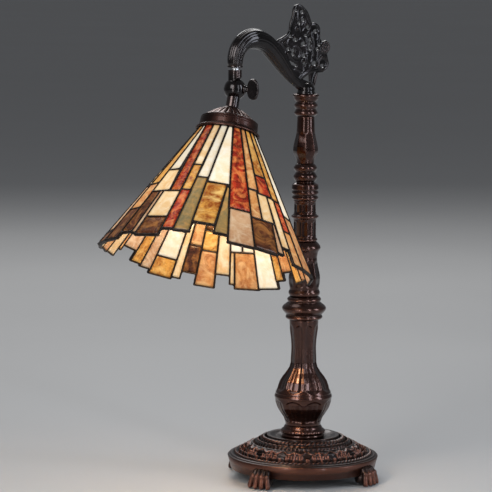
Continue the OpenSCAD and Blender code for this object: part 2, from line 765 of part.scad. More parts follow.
module socket_cap() color(brass)
    shade_frame() shade_turned([
        [nipple_r, socket_top], [9, socket_top], [14, socket_top + 2], [socket_r, shell_top - 2],
        [socket_r, shell_top], [socket_r - 1, shell_top], [socket_r - 1, shell_top - 1.4],
        [13.4, socket_top + 3.2], [nipple_r, socket_top + 1.4]
    ]);

module socket_shell() color(brass)
    shade_frame() difference() {
        translate([0, 0, -shell_foot]) cylinder(r = socket_r, h = shell_foot - shell_top);
        translate([0, 0, -shell_foot - 1]) cylinder(r = socket_r - 1, h = 40);
        translate([0, 0, -knob_s]) rotate([0, -90, 0]) cylinder(r = 2, h = 25);
    }

module socket_insulator() color([0.25, 0.22, 0.2])
    shade_frame() difference() {
        translate([0, 0, -shell_foot + 2])
            cylinder(r = socket_r - 1, h = shell_foot - shell_top - 2.2);
        translate([0, 0, -shell_foot]) cylinder(r = 14.2, h = shell_foot - contact + 1);
        translate([0, 0, -knob_s]) rotate([0, -90, 0]) cylinder(r = 2, h = 25);
    }

// The switch knob turns on a spindle square to the lamp holder.
module socket_knob() color(gunmetal)
    shade_frame() translate([0, 0, -knob_s]) rotate([0, -90, 0]) {
        translate([0, 0, 14.4]) cylinder(r = 1.5, h = 12);
        translate([0, 0, socket_r + 3]) cylinder(r = 4.2, h = 8.5);
        translate([0, 0, socket_r + 7]) intersection() {
            cylinder(r = 6.5, h = 4.5);
            translate([-8, -2.2, 0]) cube([16, 4.4, 6]);
        }
    }

module bulb_base() color([0.75, 0.75, 0.72])
    shade_frame() {
        translate([0, 0, -shell_foot - 2]) cylinder(r = 13, h = shell_foot + 2 - contact - 3);
        translate([0, 0, -contact - 3.2]) cylinder(r = 5, h = 2.4);
    }

bulb_wall = 1;
// The globe and its neck [r, distance above the globe's centre], drawn smaller for the inside
module bulb_body(shrink)
    translate([0, 0, -bulb_mid]) {
        sphere(r = bulb_r - shrink);
        rotate_extrude() polygon([
            [0, 0], [(bulb_r - shrink) * cos(25), (bulb_r - shrink) * sin(25)], [17 - shrink, 20],
            [14.2 - shrink, 28], [13 - shrink, 37], [0, 37]
        ]);
    }
module bulb_glass() color([1, 0.96, 0.85])
    shade_frame() difference() {
        bulb_body(0);
        bulb_body(bulb_wall);
    }

// ---- nodes ---------------------------------------------------------------------------------

base_casting();
base_weight();
bottom_cover();
paw_foot(0);  // paw_foot_1
paw_foot(1);  // paw_foot_2
paw_foot(2);  // paw_foot_3
paw_foot(3);  // paw_foot_4
foot_screws();
cord_bushing();
tension_pipe();
pipe_nut();
pipe_washer();
column_foot();
column_lower();
column_torus();
column_middle();
column_sleeve();
column_rings();
column_vase();
column_capital();
bridge_arm();
arm_crest();
arm_nipple();
swivel_upper();
swivel_washer();
swivel_key();
swivel_lower();
shade_nipple();
shade_cap();
cap_locknuts();
inner_plate();
fitter_ring();
came_lattice();
glass("white", [1, 0.96, 0.88]);  // glass_white
glass("cream", [0.98, 0.86, 0.62]);  // glass_cream
glass("rose", [0.93, 0.74, 0.58]);  // glass_rose
glass("amber", [0.93, 0.66, 0.30]);  // glass_amber
glass("orange", [0.84, 0.46, 0.24]);  // glass_orange
glass("red", [0.58, 0.13, 0.08]);  // glass_red
glass("brown", [0.36, 0.17, 0.10]);  // glass_brown
glass("olive", [0.55, 0.46, 0.26]);  // glass_olive
socket_cap();
socket_shell();
socket_insulator();
socket_knob();
bulb_base();
bulb_glass();
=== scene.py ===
"""Leaded glass bridge-arm table lamp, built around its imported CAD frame. Lengths are millimetres."""

import json
import math

import bmesh
import bpy
import numpy as np
from mathutils import Matrix, Vector


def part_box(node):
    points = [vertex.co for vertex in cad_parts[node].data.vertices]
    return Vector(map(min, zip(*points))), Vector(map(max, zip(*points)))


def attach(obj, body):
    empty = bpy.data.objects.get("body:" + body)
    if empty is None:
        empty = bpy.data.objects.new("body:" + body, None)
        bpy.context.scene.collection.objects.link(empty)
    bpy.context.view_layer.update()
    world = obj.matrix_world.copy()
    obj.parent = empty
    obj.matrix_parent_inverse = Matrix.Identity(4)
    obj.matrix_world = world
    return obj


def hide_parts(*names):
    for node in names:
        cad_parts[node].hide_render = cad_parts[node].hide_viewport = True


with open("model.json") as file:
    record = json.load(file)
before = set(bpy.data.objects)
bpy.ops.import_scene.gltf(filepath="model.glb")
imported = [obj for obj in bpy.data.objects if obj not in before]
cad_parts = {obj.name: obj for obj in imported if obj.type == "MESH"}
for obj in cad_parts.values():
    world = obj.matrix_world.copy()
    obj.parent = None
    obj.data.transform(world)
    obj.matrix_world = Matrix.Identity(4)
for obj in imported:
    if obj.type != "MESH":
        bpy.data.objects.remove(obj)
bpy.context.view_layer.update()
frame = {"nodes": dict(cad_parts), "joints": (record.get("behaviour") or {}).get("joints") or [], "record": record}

MM = 0.001
RNG = np.random.default_rng(7)

joints = {j["name"]: j for j in frame["joints"]}
BALL = np.array(joints["shade_tilt"]["pos_m"]) / MM
LEAN = math.radians(203.65)
TILT = math.radians(21.5)
CONE = math.radians(30)
COLUMN_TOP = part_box("column_capital")[1].z / MM


def rotation(axis, angle):
    return np.array(Matrix.Rotation(angle, 3, axis))


SHADE_TURN = rotation("Z", LEAN) @ rotation("Y", -TILT)
KEY_TURN = rotation("Z", LEAN + math.pi / 2) @ rotation("Y", math.pi / 2)


def from_shade(points):
    """Points of the shade's frame (Z up its axis, X towards its lean) in the lamp's."""
    return np.asarray(points) @ SHADE_TURN.T + BALL


def to_shade(points):
    return (np.asarray(points) - BALL) @ SHADE_TURN


def from_key(points):
    return np.asarray(points) @ KEY_TURN.T + BALL


# ---- camera ----------------------------------------------------------------------------------

camera_data = bpy.data.cameras.new("camera")
camera_data.lens = 200
camera_data.sensor_width = 36
camera = bpy.data.objects.new("camera", camera_data)
bpy.context.scene.collection.objects.link(camera)
sight_right = Vector((0.743, -0.669, 0)).normalized()
sight_level = Vector((0, 0, 1)).cross(sight_right).normalized()
pitch = math.radians(6.69)
roll = math.radians(0.41)
sight = sight_level * math.cos(pitch) - Vector((0, 0, 1)) * math.sin(pitch)
sight_up = sight_right.cross(sight)
right = sight_right * math.cos(roll) + sight_up * math.sin(roll)
up = sight_up * math.cos(roll) - sight_right * math.sin(roll)
turn = Matrix((right, up, -sight)).transposed().to_4x4()
camera.matrix_world = Matrix.Translation((-1.98703, -2.11321, 0.590)) @ turn
bpy.context.scene.camera = camera


# ---- materials -------------------------------------------------------------------------------


class Nodes:
    """A material's node tree, with short calls that add and link nodes."""

    def __init__(self, name):
        self.material = bpy.data.materials.new(name)
        self.material.use_nodes = True
        self.tree = self.material.node_tree
        self.shader = self.tree.nodes["Principled BSDF"]
        self.place = self.add("ShaderNodeTexCoord").outputs["Object"]

    def add(self, kind, **settings):
        node = self.tree.nodes.new(kind)
        for key, value in settings.items():
            setattr(node, key, value)
        return node

    def feed(self, socket, value):
        if isinstance(value, bpy.types.NodeSocket):
            self.tree.links.new(value, socket)
        else:
            socket.default_value = value

    def stretched(self, scale):
        node = self.add("ShaderNodeMapping")
        self.feed(node.inputs["Vector"], self.place)
        node.inputs["Scale"].default_value = scale
        return node.outputs["Vector"]

    def noise(self, scale, detail=4.0, rough=0.55, twist=0.0, place=None):
        node = self.add("ShaderNodeTexNoise")
        self.feed(node.inputs["Vector"], place or self.place)
        node.inputs["Scale"].default_value = scale
        node.inputs["Detail"].default_value = detail
        node.inputs["Roughness"].default_value = rough
        node.inputs["Distortion"].default_value = twist
        return node.outputs["Fac"]

    def ramp(self, value, low, high, out_low=0.0, out_high=1.0):
        node = self.add("ShaderNodeMapRange")
        self.feed(node.inputs["Value"], value)
        node.inputs["From Min"].default_value = low
        node.inputs["From Max"].default_value = high
        node.inputs["To Min"].default_value = out_low
        node.inputs["To Max"].default_value = out_high
        return node.outputs["Result"]

    def mix(self, factor, a, b, kind="MIX"):
        node = self.add("ShaderNodeMix", data_type="RGBA", blend_type=kind)
        self.feed(node.inputs["Factor"], factor)
        self.feed(node.inputs["A"], a)
        self.feed(node.inputs["B"], b)
        return node.outputs[2]

    def math(self, kind, a, b=0.0):
        node = self.add("ShaderNodeMath", operation=kind)
        self.feed(node.inputs[0], a)
        self.feed(node.inputs[1], b)
        return node.outputs[0]

    def attribute(self, name):
        return self.add("ShaderNodeAttribute", attribute_name=name).outputs["Fac"]

    def bump(self, height, distance, strength=1.0):
        node = self.add("ShaderNodeBump")
        node.inputs["Distance"].default_value = distance
        node.inputs["Strength"].default_value = strength
        self.feed(node.inputs["Height"], height)
        self.feed(self.shader.inputs["Normal"], node.outputs["Normal"])

    def set(self, **values):
        for key, value in values.items():
            self.feed(self.shader.inputs[key.replace("_", " ")], value)


def rgb(r, g, b):
    return (r, g, b, 1.0)


def patina(name, dark, body, worn, rough, metal=0.9, grain=260, dents=0.00012, coat=0.25):
    """Cast or turned metal: a mottled patina, rubbed brighter where the relief stands proud."""
    n = Nodes(name)
    clouds = n.noise(34, 5, 0.6, 0.4)
    specks = n.noise(grain, 4, 0.6)
    base = n.mix(n.ramp(clouds, 0.35, 0.68), dark, body)
    rub = n.math("MULTIPLY", n.attribute("wear"), n.ramp(specks, 0.3, 0.6, 0.35, 1.0))
    edges = n.add("ShaderNodeNewGeometry").outputs["Pointiness"]
    rub = n.math("MAXIMUM", rub, n.ramp(edges, 0.53, 0.62, 0.0, 0.55))
    n.set(Base_Color=n.mix(rub, base, worn), Metallic=metal)
    smear = n.math("ADD", n.math("MULTIPLY", clouds, 0.6), n.math("MULTIPLY", specks, 0.4))
    n.set(Roughness=n.ramp(smear, 0.3, 0.7, rough[0], rough[1]))
    n.set(Coat_Weight=coat, Coat_Roughness=0.12)
    n.bump(n.math("ADD", n.math("MULTIPLY", specks, 0.7), clouds), dents, 0.6)
    return n.material


def turned_metal(name, colour, rough, metal=1.0):
    """Plain turned or stamped metal with fine lathe lines and tarnish."""
    n = Nodes(name)
    tarnish = n.noise(55, 5, 0.65)
    lines = n.noise(6, 3, 0.5, 0.0, n.stretched((30, 30, 900)))
    dull = tuple(0.45 * c for c in colour[:3]) + (1.0,)
    n.set(Base_Color=n.mix(n.ramp(tarnish, 0.42, 0.75), colour, dull), Metallic=metal)
    n.set(Roughness=n.ramp(tarnish, 0.3, 0.7, rough[0], rough[1]))
    n.bump(lines, 0.00004, 0.5)
    return n.material


def solder():
    n = Nodes("dark_solder")
    clouds = n.noise(60, 5, 0.6)
    lumps = n.noise(420, 3, 0.5)
    base = n.mix(n.ramp(clouds, 0.4, 0.7), rgb(0.012, 0.008, 0.006), rgb(0.035, 0.020, 0.014))
    shine = n.ramp(lumps, 0.55, 0.8, 0.0, 0.5)
    n.set(Base_Color=n.mix(shine, base, rgb(0.10, 0.06, 0.04)), Metallic=0.6)
    n.set(Roughness=n.ramp(lumps, 0.3, 0.7, 0.28, 0.5))
    n.bump(lumps, 0.00022, 0.7)
    return n.material


def art_glass(name, deep, mid, light, mottle, streak, shine, contrast=(0.36, 0.64)):
    """Opalescent art glass lit from inside: clouds and streaks of three tones, brighter near the bulb, with
    painted shade dimming the glow along each pane's edge.
    """
    n = Nodes(name)
    offset = n.add("ShaderNodeVectorMath", operation="ADD")
    n.feed(offset.inputs[0], n.place)
    shift = n.add("ShaderNodeCombineXYZ")
    n.feed(shift.inputs["X"], n.attribute("chance"))
    n.feed(shift.inputs["Y"], n.math("MULTIPLY", n.attribute("chance"), 3.7))
    n.feed(offset.inputs[1], shift.outputs["Vector"])
    place = offset.outputs["Vector"]
    clouds = n.noise(mottle, 6, 0.62, 1.3, place)
    streaks = n.noise(streak, 4, 0.6, 2.2, place)
    fine = n.noise(mottle * 7, 3, 0.6, 0.5, place)
    tone = n.math("ADD", n.math("MULTIPLY", clouds, 0.75), n.math("MULTIPLY", fine, 0.25))
    tint = n.mix(n.ramp(tone, contrast[0], contrast[1]), deep, mid)
    tint = n.mix(n.ramp(streaks, 0.46, 0.72), tint, light)
    shade = n.ramp(n.attribute("chance"), 0, 1, 0.84, 1.04)
    # The edge attribute is painted shade: it dims the emission towards each pane's edge, as if the solder shaded
    # it.
    lit = n.math("MULTIPLY", n.math("MULTIPLY", n.attribute("glow"), shade), n.attribute("edge"))
    black = rgb(0, 0, 0)
    n.set(Base_Color=n.mix(0.78, tint, black), Roughness=n.ramp(fine, 0.3, 0.7, 0.16, 0.30))
    n.set(Emission_Color=n.mix(lit, black, tint), Emission_Strength=shine)
    n.set(Specular_IOR_Level=0.32)
    n.bump(n.math("ADD", clouds, n.math("MULTIPLY", fine, 0.35)), 0.0006, 0.5)
    return n.material


def plastic(name, colour, rough):
    n = Nodes(name)
    grain = n.noise(900, 2, 0.5)
    haze = n.noise(40, 4, 0.5)
    lighter = tuple(min(1.0, 1.6 * c + 0.01) for c in colour[:3]) + (1.0,)
    n.set(Base_Color=n.mix(n.ramp(haze, 0.4, 0.8), colour, lighter))
    n.set(Roughness=n.ramp(haze, 0.3, 0.7, rough[0], rough[1]))
    n.bump(grain, 0.00003, 0.5)
    return n.material


def frosted():
    n = Nodes("frosted_bulb")
    frost = n.noise(700, 3, 0.6)
    warm = n.mix(n.ramp(n.noise(18, 2), 0.3, 0.7), rgb(1.0, 0.78, 0.48), rgb(1.0, 0.86, 0.62))
    n.set(Base_Color=rgb(0.95, 0.92, 0.85), Roughness=n.ramp(frost, 0.3, 0.7, 0.4, 0.6))
    n.set(Emission_Color=warm, Emission_Strength=4.0)
    n.bump(frost, 0.00003, 0.4)
    return n.material


def floor_paint():
    n = Nodes("floor_paint")
    haze = n.noise(1.5, 4, 0.5)
    n.set(Base_Color=n.mix(haze, rgb(0.50, 0.50, 0.50), rgb(0.54, 0.54, 0.535)))
    n.set(Roughness=n.ramp(haze, 0.3, 0.7, 0.5, 0.62))
    return n.material


MATERIALS = {
    "antique_bronze": patina(
        "antique_bronze", rgb(0.010, 0.006, 0.005), rgb(0.034, 0.017, 0.013),
        rgb(0.36, 0.135, 0.085), (0.28, 0.48), 0.9, 420, 0.0002, 0.3,
    ),
    "mahogany_bronze": patina(
        "mahogany_bronze", rgb(0.026, 0.010, 0.008), rgb(0.068, 0.028, 0.020),
        rgb(0.25, 0.105, 0.072), (0.16, 0.30), 0.88, 300, 0.00005, 0.5,
    ),
    "gunmetal_bronze": patina(
        "gunmetal_bronze", rgb(0.010, 0.008, 0.008), rgb(0.024, 0.018, 0.018),
        rgb(0.10, 0.062, 0.055), (0.14, 0.28), 0.85, 300, 0.00005, 0.5,
    ),
    "cap_bronze": patina(
        "cap_bronze", rgb(0.020, 0.008, 0.006), rgb(0.058, 0.024, 0.018),
        rgb(0.26, 0.110, 0.075), (0.32, 0.46), 0.9, 300, 0.00005, 0.15,
    ),
    "grey_iron": patina(
        "grey_iron", rgb(0.07, 0.07, 0.075), rgb(0.16, 0.16, 0.165),
        rgb(0.30, 0.29, 0.28), (0.5, 0.7), 0.6, 500, 0.0003, 0.0,
    ),
    "zinc_steel": turned_metal("zinc_steel", rgb(0.62, 0.62, 0.63), (0.25, 0.45)),
    "brass_fitting": turned_metal("brass_fitting", rgb(0.66, 0.47, 0.20), (0.22, 0.42)),
    "black_plastic": plastic("black_plastic", rgb(0.020, 0.020, 0.021), (0.3, 0.45)),
    "insulating_card": plastic("insulating_card", rgb(0.30, 0.24, 0.17), (0.7, 0.9)),
    "dark_solder": solder(),
    "glass_white": art_glass(
        "glass_white", rgb(0.93, 0.70, 0.42), rgb(0.98, 0.88, 0.68), rgb(1.0, 0.95, 0.84),
        28, 40, 1.06,
    ),
    "glass_cream": art_glass(
        "glass_cream", rgb(0.80, 0.46, 0.18), rgb(0.94, 0.68, 0.36), rgb(0.98, 0.80, 0.54),
        34, 46, 0.98,
    ),
    "glass_rose": art_glass(
        "glass_rose", rgb(0.58, 0.27, 0.12), rgb(0.84, 0.52, 0.29), rgb(0.95, 0.70, 0.45),
        40, 44, 0.88,
    ),
    "glass_amber": art_glass(
        "glass_amber", rgb(0.34, 0.085, 0.014), rgb(0.84, 0.40, 0.075), rgb(0.97, 0.62, 0.20),
        46, 42, 0.98, (0.40, 0.58),
    ),
    "glass_orange": art_glass(
        "glass_orange", rgb(0.46, 0.145, 0.045), rgb(0.78, 0.35, 0.11), rgb(0.92, 0.56, 0.24),
        58, 50, 0.92, (0.38, 0.60),
    ),
    "glass_red": art_glass(
        "glass_red", rgb(0.13, 0.010, 0.006), rgb(0.50, 0.040, 0.014), rgb(0.86, 0.27, 0.07),
        70, 60, 1.0, (0.40, 0.58),
    ),
    "glass_brown": art_glass(
        "glass_brown", rgb(0.040, 0.013, 0.007), rgb(0.20, 0.060, 0.020), rgb(0.50, 0.20, 0.05),
        40, 34, 0.85, (0.40, 0.66),
    ),
    "glass_olive": art_glass(
        "glass_olive", rgb(0.24, 0.19, 0.085), rgb(0.46, 0.27, 0.085), rgb(0.66, 0.34, 0.10),
        48, 40, 0.92, (0.40, 0.62),
    ),
    "bulb_metal": turned_metal("bulb_metal", rgb(0.72, 0.72, 0.70), (0.2, 0.35)),
    "frosted_bulb": frosted(),
}
SLOT_OF = {
    part["node"]: part["material_slot"] for part in frame["record"]["subparts"]
}
for node_name, node_object in frame["nodes"].items():
    node_object.data.materials.clear()
    node_object.data.materials.append(MATERIALS[SLOT_OF[node_name]])


# ---- mesh tools ------------------------------------------------------------------------------


def grid_faces(rows, cols, wrap_rows=False, wrap_cols=True, flip=False):
    """Quads over a grid of rows x cols points, numbered row by row."""
    r = np.arange(rows if wrap_rows else rows - 1)
    c = np.arange(cols if wrap_cols else cols - 1)
    r, c = np.meshgrid(r, c, indexing="ij")
    r2 = (r + 1) % rows
    c2 = (c + 1) % cols
    quads = [r * cols + c, r * cols + c2, r2 * cols + c2, r2 * cols + c]
    faces = np.stack(quads, -1).reshape(-1, 4)
    return faces[:, ::-1] if flip else faces


def new_object(name, points, faces, attributes=None):
    mesh = bpy.data.meshes.new(name)
    points = np.asarray(points, float).reshape(-1, 3) * MM
    mesh.from_pydata(points.tolist(), [], [list(map(int, f)) for f in faces])
    mesh.polygons.foreach_set("use_smooth", np.ones(len(mesh.polygons), bool))
    for key, values in (attributes or {}).items():
        layer = mesh.attributes.new(key, "FLOAT", "POINT")
        layer.data.foreach_set("value", np.asarray(values, np.float32).ravel())
    mesh.update()
    obj = bpy.data.objects.new(name, mesh)
    bpy.context.scene.collection.objects.link(obj)
    return obj


def outwards(obj):
    """Makes the faces of closed shells look outwards."""
    work = bmesh.new()
    work.from_mesh(obj.data)
    bmesh.ops.recalc_face_normals(work, faces=work.faces)
    work.to_mesh(obj.data)
    work.free()
    return obj


def finish_piece(obj, body, slot, *nodes):
    obj.data.materials.clear()
    obj.data.materials.append(MATERIALS[slot])
    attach(obj, body)
    if nodes:
        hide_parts(*nodes)
    return obj


def joined(name, parts):
    """Several point-and-face sets as one object."""
    points, faces, start = [], [], 0
    for part_points, part_faces in parts:
        part_points = np.asarray(part_points, float).reshape(-1, 3)
        points.append(part_points)
        faces += [[int(i) + start for i in f] for f in part_faces]
        start += len(part_points)
    return new_object(name, np.vstack(points), faces)


def remeshed(obj, voxel, smooth_steps=2, smooth_share=0.5):
    """Fuses an object's shells into one casting with soft fillets."""
    remesh = obj.modifiers.new("fuse", "REMESH")
    remesh.mode = "VOXEL"
    remesh.voxel_size = voxel * MM
    if smooth_steps:
        smooth = obj.modifiers.new("soften", "SMOOTH")
        smooth.factor = smooth_share
        smooth.iterations = smooth_steps
    graph = bpy.context.evaluated_depsgraph_get()
    mesh = bpy.data.meshes.new_from_object(obj.evaluated_get(graph))
    obj.modifiers.clear()
    obj.data = mesh
    mesh.polygons.foreach_set("use_smooth", np.ones(len(mesh.polygons), bool))
    return obj


def points_of(obj):
    co = np.empty(len(obj.data.vertices) * 3)
    obj.data.vertices.foreach_get("co", co)
    return co.reshape(-1, 3) / MM


def smoothed(values, width):
    """A moving average that keeps the ends."""
    kernel = np.hanning(width + 2)[1:-1]
    kernel /= kernel.sum()
    padded = np.pad(values, width // 2, mode="edge")
    return np.convolve(padded, kernel, mode="valid")


def tube(path, radii, sides=12, flat=1.0, side_way=None, closed=False):
    """A capped tube along a path. flat squashes it along side_way, or along the path's own side."""
    path = np.asarray(path, float)
    radii = np.broadcast_to(np.asarray(radii, float), (len(path),))
    ahead = np.gradient(path, axis=0) if not closed else np.roll(path, -1, 0) - np.roll(path, 1, 0)
    ahead /= np.linalg.norm(ahead, axis=1)[:, None]
    way = np.array(side_way if side_way is not None else (0, 1, 0), float)
    way = np.broadcast_to(way, path.shape)
    first = way - (way * ahead).sum(1)[:, None] * ahead
    first /= np.linalg.norm(first, axis=1)[:, None] + 1e-12
    second = np.cross(ahead, first)
    angles = np.arange(sides) * 2 * math.pi / sides
    ring = first[:, None] * (flat * np.cos(angles))[None, :, None]
    ring = ring + second[:, None] * np.sin(angles)[None, :, None]
    points = (path[:, None] + ring * radii[:, None, None]).reshape(-1, 3)
    faces = list(grid_faces(len(path), sides, wrap_rows=closed))
    if not closed:
        last = (len(path) - 1) * sides
        faces.append(np.arange(sides)[::-1])
        faces.append(np.arange(sides) + last)
    return points, faces


def ball(centre, radius, stretch=(1, 1, 1), rows=10, cols=16):
    """A ball or ellipsoid as points and faces."""
    lat = np.linspace(-math.pi / 2, math.pi / 2, rows + 1)[1:-1]
    lon = np.arange(cols) * 2 * math.pi / cols
    lat, lon = np.meshgrid(lat, lon, indexing="ij")
    unit = np.stack([np.cos(lat) * np.cos(lon), np.cos(lat) * np.sin(lon), np.sin(lat)], -1)
    points = np.vstack([unit.reshape(-1, 3), [[0, 0, -1], [0, 0, 1]]])
    faces = list(grid_faces(rows - 1, cols))
    south = (rows - 1) * cols
    for i in range(cols):
        j = (i + 1) % cols
        faces.append([south, j, i])
        faces.append([south + 1, (rows - 2) * cols + i, (rows - 2) * cols + j])
    return points * radius * np.array(stretch) + np.array(centre), faces


# ---- turned pieces of the column -------------------------------------------------------------

ARRIS = math.radians(3)
FINE = 0.4
BORE = 5.1


def outline_of(node):
    """The turned outline of a CAD piece, as heights and radii, read from its seam at azimuth 0."""
    co = points_of(frame["nodes"][node])
    seam = co[(np.abs(co[:, 1]) < 0.01) & (co[:, 0] > BORE + 0.4)]
    seam = seam[np.argsort(seam[:, 2])]
    heights, first = np.unique(np.round(seam[:, 2], 3), return_index=True)
    return heights, seam[first, 0]


def rounder(z, r, longest=9.5, power=0.55):
    """The outline with its beads made full and the valleys between them tight."""
    turns = [0] + [i for i in range(1, len(r) - 1) if (r[i] - r[i - 1]) * (r[i + 1] - r[i]) < 0]
    turns.append(len(r) - 1)
    out = r.copy()
    for a, b in zip(turns, turns[1:]):
        low, high = min(r[a], r[b]), max(r[a], r[b])
        if z[b] - z[a] > longest or high - low < 0.4:
            continue
        share = np.clip((r[a:b + 1] - low) / (high - low), 0, 1)
        out[a:b + 1] = low + (high - low) * share ** power
    return out


def turned_piece(node, slot, shape=None, columns=192):
    """A turned piece with its outline smoothed, its ends eased, and a shape function for carving."""
    heights, radii = outline_of(node)
    z0, z1 = heights[0], heights[-1]
    z = np.linspace(z0, z1, max(6, int((z1 - z0) / FINE)))
    r = smoothed(rounder(z, np.interp(z, heights, radii)), 3)
    ease = np.minimum(z - z0, z1 - z)
    r = r - 0.45 * np.clip(1 - ease / 0.7, 0, 1) ** 2
    theta = np.arange(columns) * 2 * math.pi / columns
    zz, tt = np.meshgrid(z, theta, indexing="ij")
    rr = np.broadcast_to(r[:, None], zz.shape).copy()
    cut = shape(zz, tt, rr) if shape else np.zeros_like(rr)
    rr = rr - cut
    rows = [np.full((1, columns), BORE), rr, np.full((1, columns), BORE)]
    heights3 = [np.full((1, columns), z0), zz, np.full((1, columns), z1)]
    rr = np.vstack(rows)
    zz = np.vstack(heights3)
    angle = np.broadcast_to(theta, rr.shape)
    points = np.stack([rr * np.cos(angle), rr * np.sin(angle), zz], -1)
    slope = np.gradient(np.gradient(smoothed(r, 7), z), z)
    proud = np.clip(-slope * 0.5, 0, 0.35)
    wear = np.vstack([np.zeros((1, columns)), np.broadcast_to(proud[:, None], cut.shape)
                      + 0.12 * (cut.max() - cut) / max(cut.max(), 1e-6) * (cut.max() > 0),
                      np.zeros((1, columns))])
    obj = new_object("v_" + node, points, grid_faces(len(rr), columns, wrap_rows=True),
                     {"wear": np.clip(wear, 0, 1)})
    outwards(obj)
    return finish_piece(obj, "stand", slot, node)


def fade(z, low, high, soft):
    """1 between low and high, 0 outside, eased over soft."""
    rise = np.clip((z - low) / soft, 0, 1)
    fall = np.clip((high - z) / soft, 0, 1)
    t = np.minimum(rise, fall)
    return t * t * (3 - 2 * t)


def eight(theta):
    """Distance round from the nearest of eight arrises, 0 to 1."""
    return np.abs(np.sin(4 * (theta - ARRIS)))


def lower_shape(z, theta, r):
    """Eight flutes with fillets and a ridge on each arris; tongues and arched panels on the belly."""
    hollow = eight(theta)
    arch = 2.6 * (1 - hollow ** 2)
    flute = np.clip((hollow - 0.34) / 0.5, 0, 1) ** 0.8
    long_part = fade(z, 94 + arch, 167 - arch, 3) * np.clip(r / 20, 0.55, 1.1)
    ridge = np.exp(-((hollow - 0.0) / 0.10) ** 2)
    line = np.exp(-((hollow - 0.26) / 0.06) ** 2)
    cut = long_part * (1.9 * flute + 0.45 * line - 0.35 * ridge)
    belly = fade(z, 61, 86.5 - 1.2 * arch, 2.2)
    tongues = np.abs(np.sin(16 * (theta - ARRIS))) ** 0.7
    cut = cut + belly * (0.85 * np.clip((hollow - 0.28) / 0.3, 0, 1) + 0.55 * (1 - tongues) * (hollow > 0.2))
    cut = cut - 0.35 * np.exp(-((z - 88.6) / 1.1) ** 2) + 0.35 * np.exp(-((z - 91.4) / 0.9) ** 2)
    full = 1.9 * np.exp(-((z - 73) / 8.5) ** 2) + 1.0 * np.exp(-((z - 96) / 6) ** 2)
    return cut - full


def middle_shape(z, theta, r):
    return 1.3 * fade(z, 206, 236, 5) * eight(theta) * np.clip(r / 16, 0.6, 1)


def sleeve_shape(z, theta, r):
    reed = np.abs(np.sin(6 * theta))
    return 0.9 * (fade(z, 261, 278, 1.6) + fade(z, 286.5, 296.5, 1.4)) * reed


def vase_shape(z, theta, r):
    return 0.9 * fade(z, 342, 374, 6) * eight(theta) ** 0.8


def torus_shape(z, theta, r):
    rope = 0.5 + 0.5 * np.cos(36 * theta + 1.5 * (z - 176.8))
    return 0.35 * fade(z, 175.5, 178.5, 1.2) * rope


def foot_shape(z, theta, r):
    bead = np.abs(np.sin(16 * theta))
    return 0.5 * fade(z, 49, 52.5, 1.2) * (1 - bead)


turned_piece("column_foot", "mahogany_bronze", foot_shape)
turned_piece("column_lower", "mahogany_bronze", lower_shape, 288)
turned_piece("column_torus", "mahogany_bronze", torus_shape, 288)
turned_piece("column_middle", "mahogany_bronze", middle_shape)
turned_piece("column_sleeve", "mahogany_bronze", sleeve_shape)
turned_piece("column_rings", "mahogany_bronze")
turned_piece("column_vase", "mahogany_bronze", vase_shape)
turned_piece("column_capital", "mahogany_bronze")


# ---- base ------------------------------------------------------------------------------------

BASE_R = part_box("base_casting")[1].x / MM
SKIRT_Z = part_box("base_casting")[0].z / MM


def base_outline():
    """The dome's outline from the skirt's foot in to the column's seat, as radii and heights."""
    co = points_of(frame["nodes"]["base_casting"])
    seam = co[(np.abs(co[:, 1]) < 0.01) & (co[:, 0] > 28)]
    top = []
    for x, _, z in seam:
        under = seam[(seam[:, 0] >= x - 0.5) & (seam[:, 0] <= x + 0.5)]
        if z >= under[:, 2].max() - 1.5 and not (x < BASE_R - 3 and z < 24.9):
            top.append((round(float(x), 3), round(float(z), 3)))
    top = sorted(set(top), key=lambda p: (-p[0], p[1]))
    return np.array(top)


def swirl_field(u, v):
    """Height of one acanthus and scroll motif, u and v from 0 to 1 across its cell."""
    height = np.zeros_like(u)

    def stroke(path, width, rise):
        nonlocal height
        near = np.full(u.shape, 9.0)
        for path_u, path_v in path:
            near = np.minimum(near, np.hypot((u - path_u) * 1.45, v - path_v))
        height = np.maximum(height, rise * np.exp(-(near / width) ** 2))

    turns = np.linspace(0, 1, 26)
    for sign in (-1, 1):
        spiral = [
            (0.5 + sign * (0.23 + (0.16 - 0.13 * t) * math.cos(1.2 + 7.5 * t)),
             0.55 + (0.24 - 0.20 * t) * math.sin(1.2 + 7.5 * t))
            for t in turns
        ]
        stroke(spiral, 0.055, 1.0)
        stem = [(0.5 + sign * 0.46 * t, 0.08 + 0.25 * math.sin(math.pi * t)) for t in turns]
        stroke(stem, 0.05, 0.8)
        for k in range(3):
            leaf = [(0.5 + sign * (0.03 + 0.13 * t + 0.03 * k), 0.20 + 0.20 * k + 0.2 * t * (1 - t))
                    for t in turns]
            stroke(leaf, 0.045, 0.9)
    stroke([(0.5, 0.12 + 0.8 * t) for t in turns], 0.06, 1.1)
    stroke([(0.02, 0.8), (0.98, 0.8)], 0.09, 0.9)
    return height


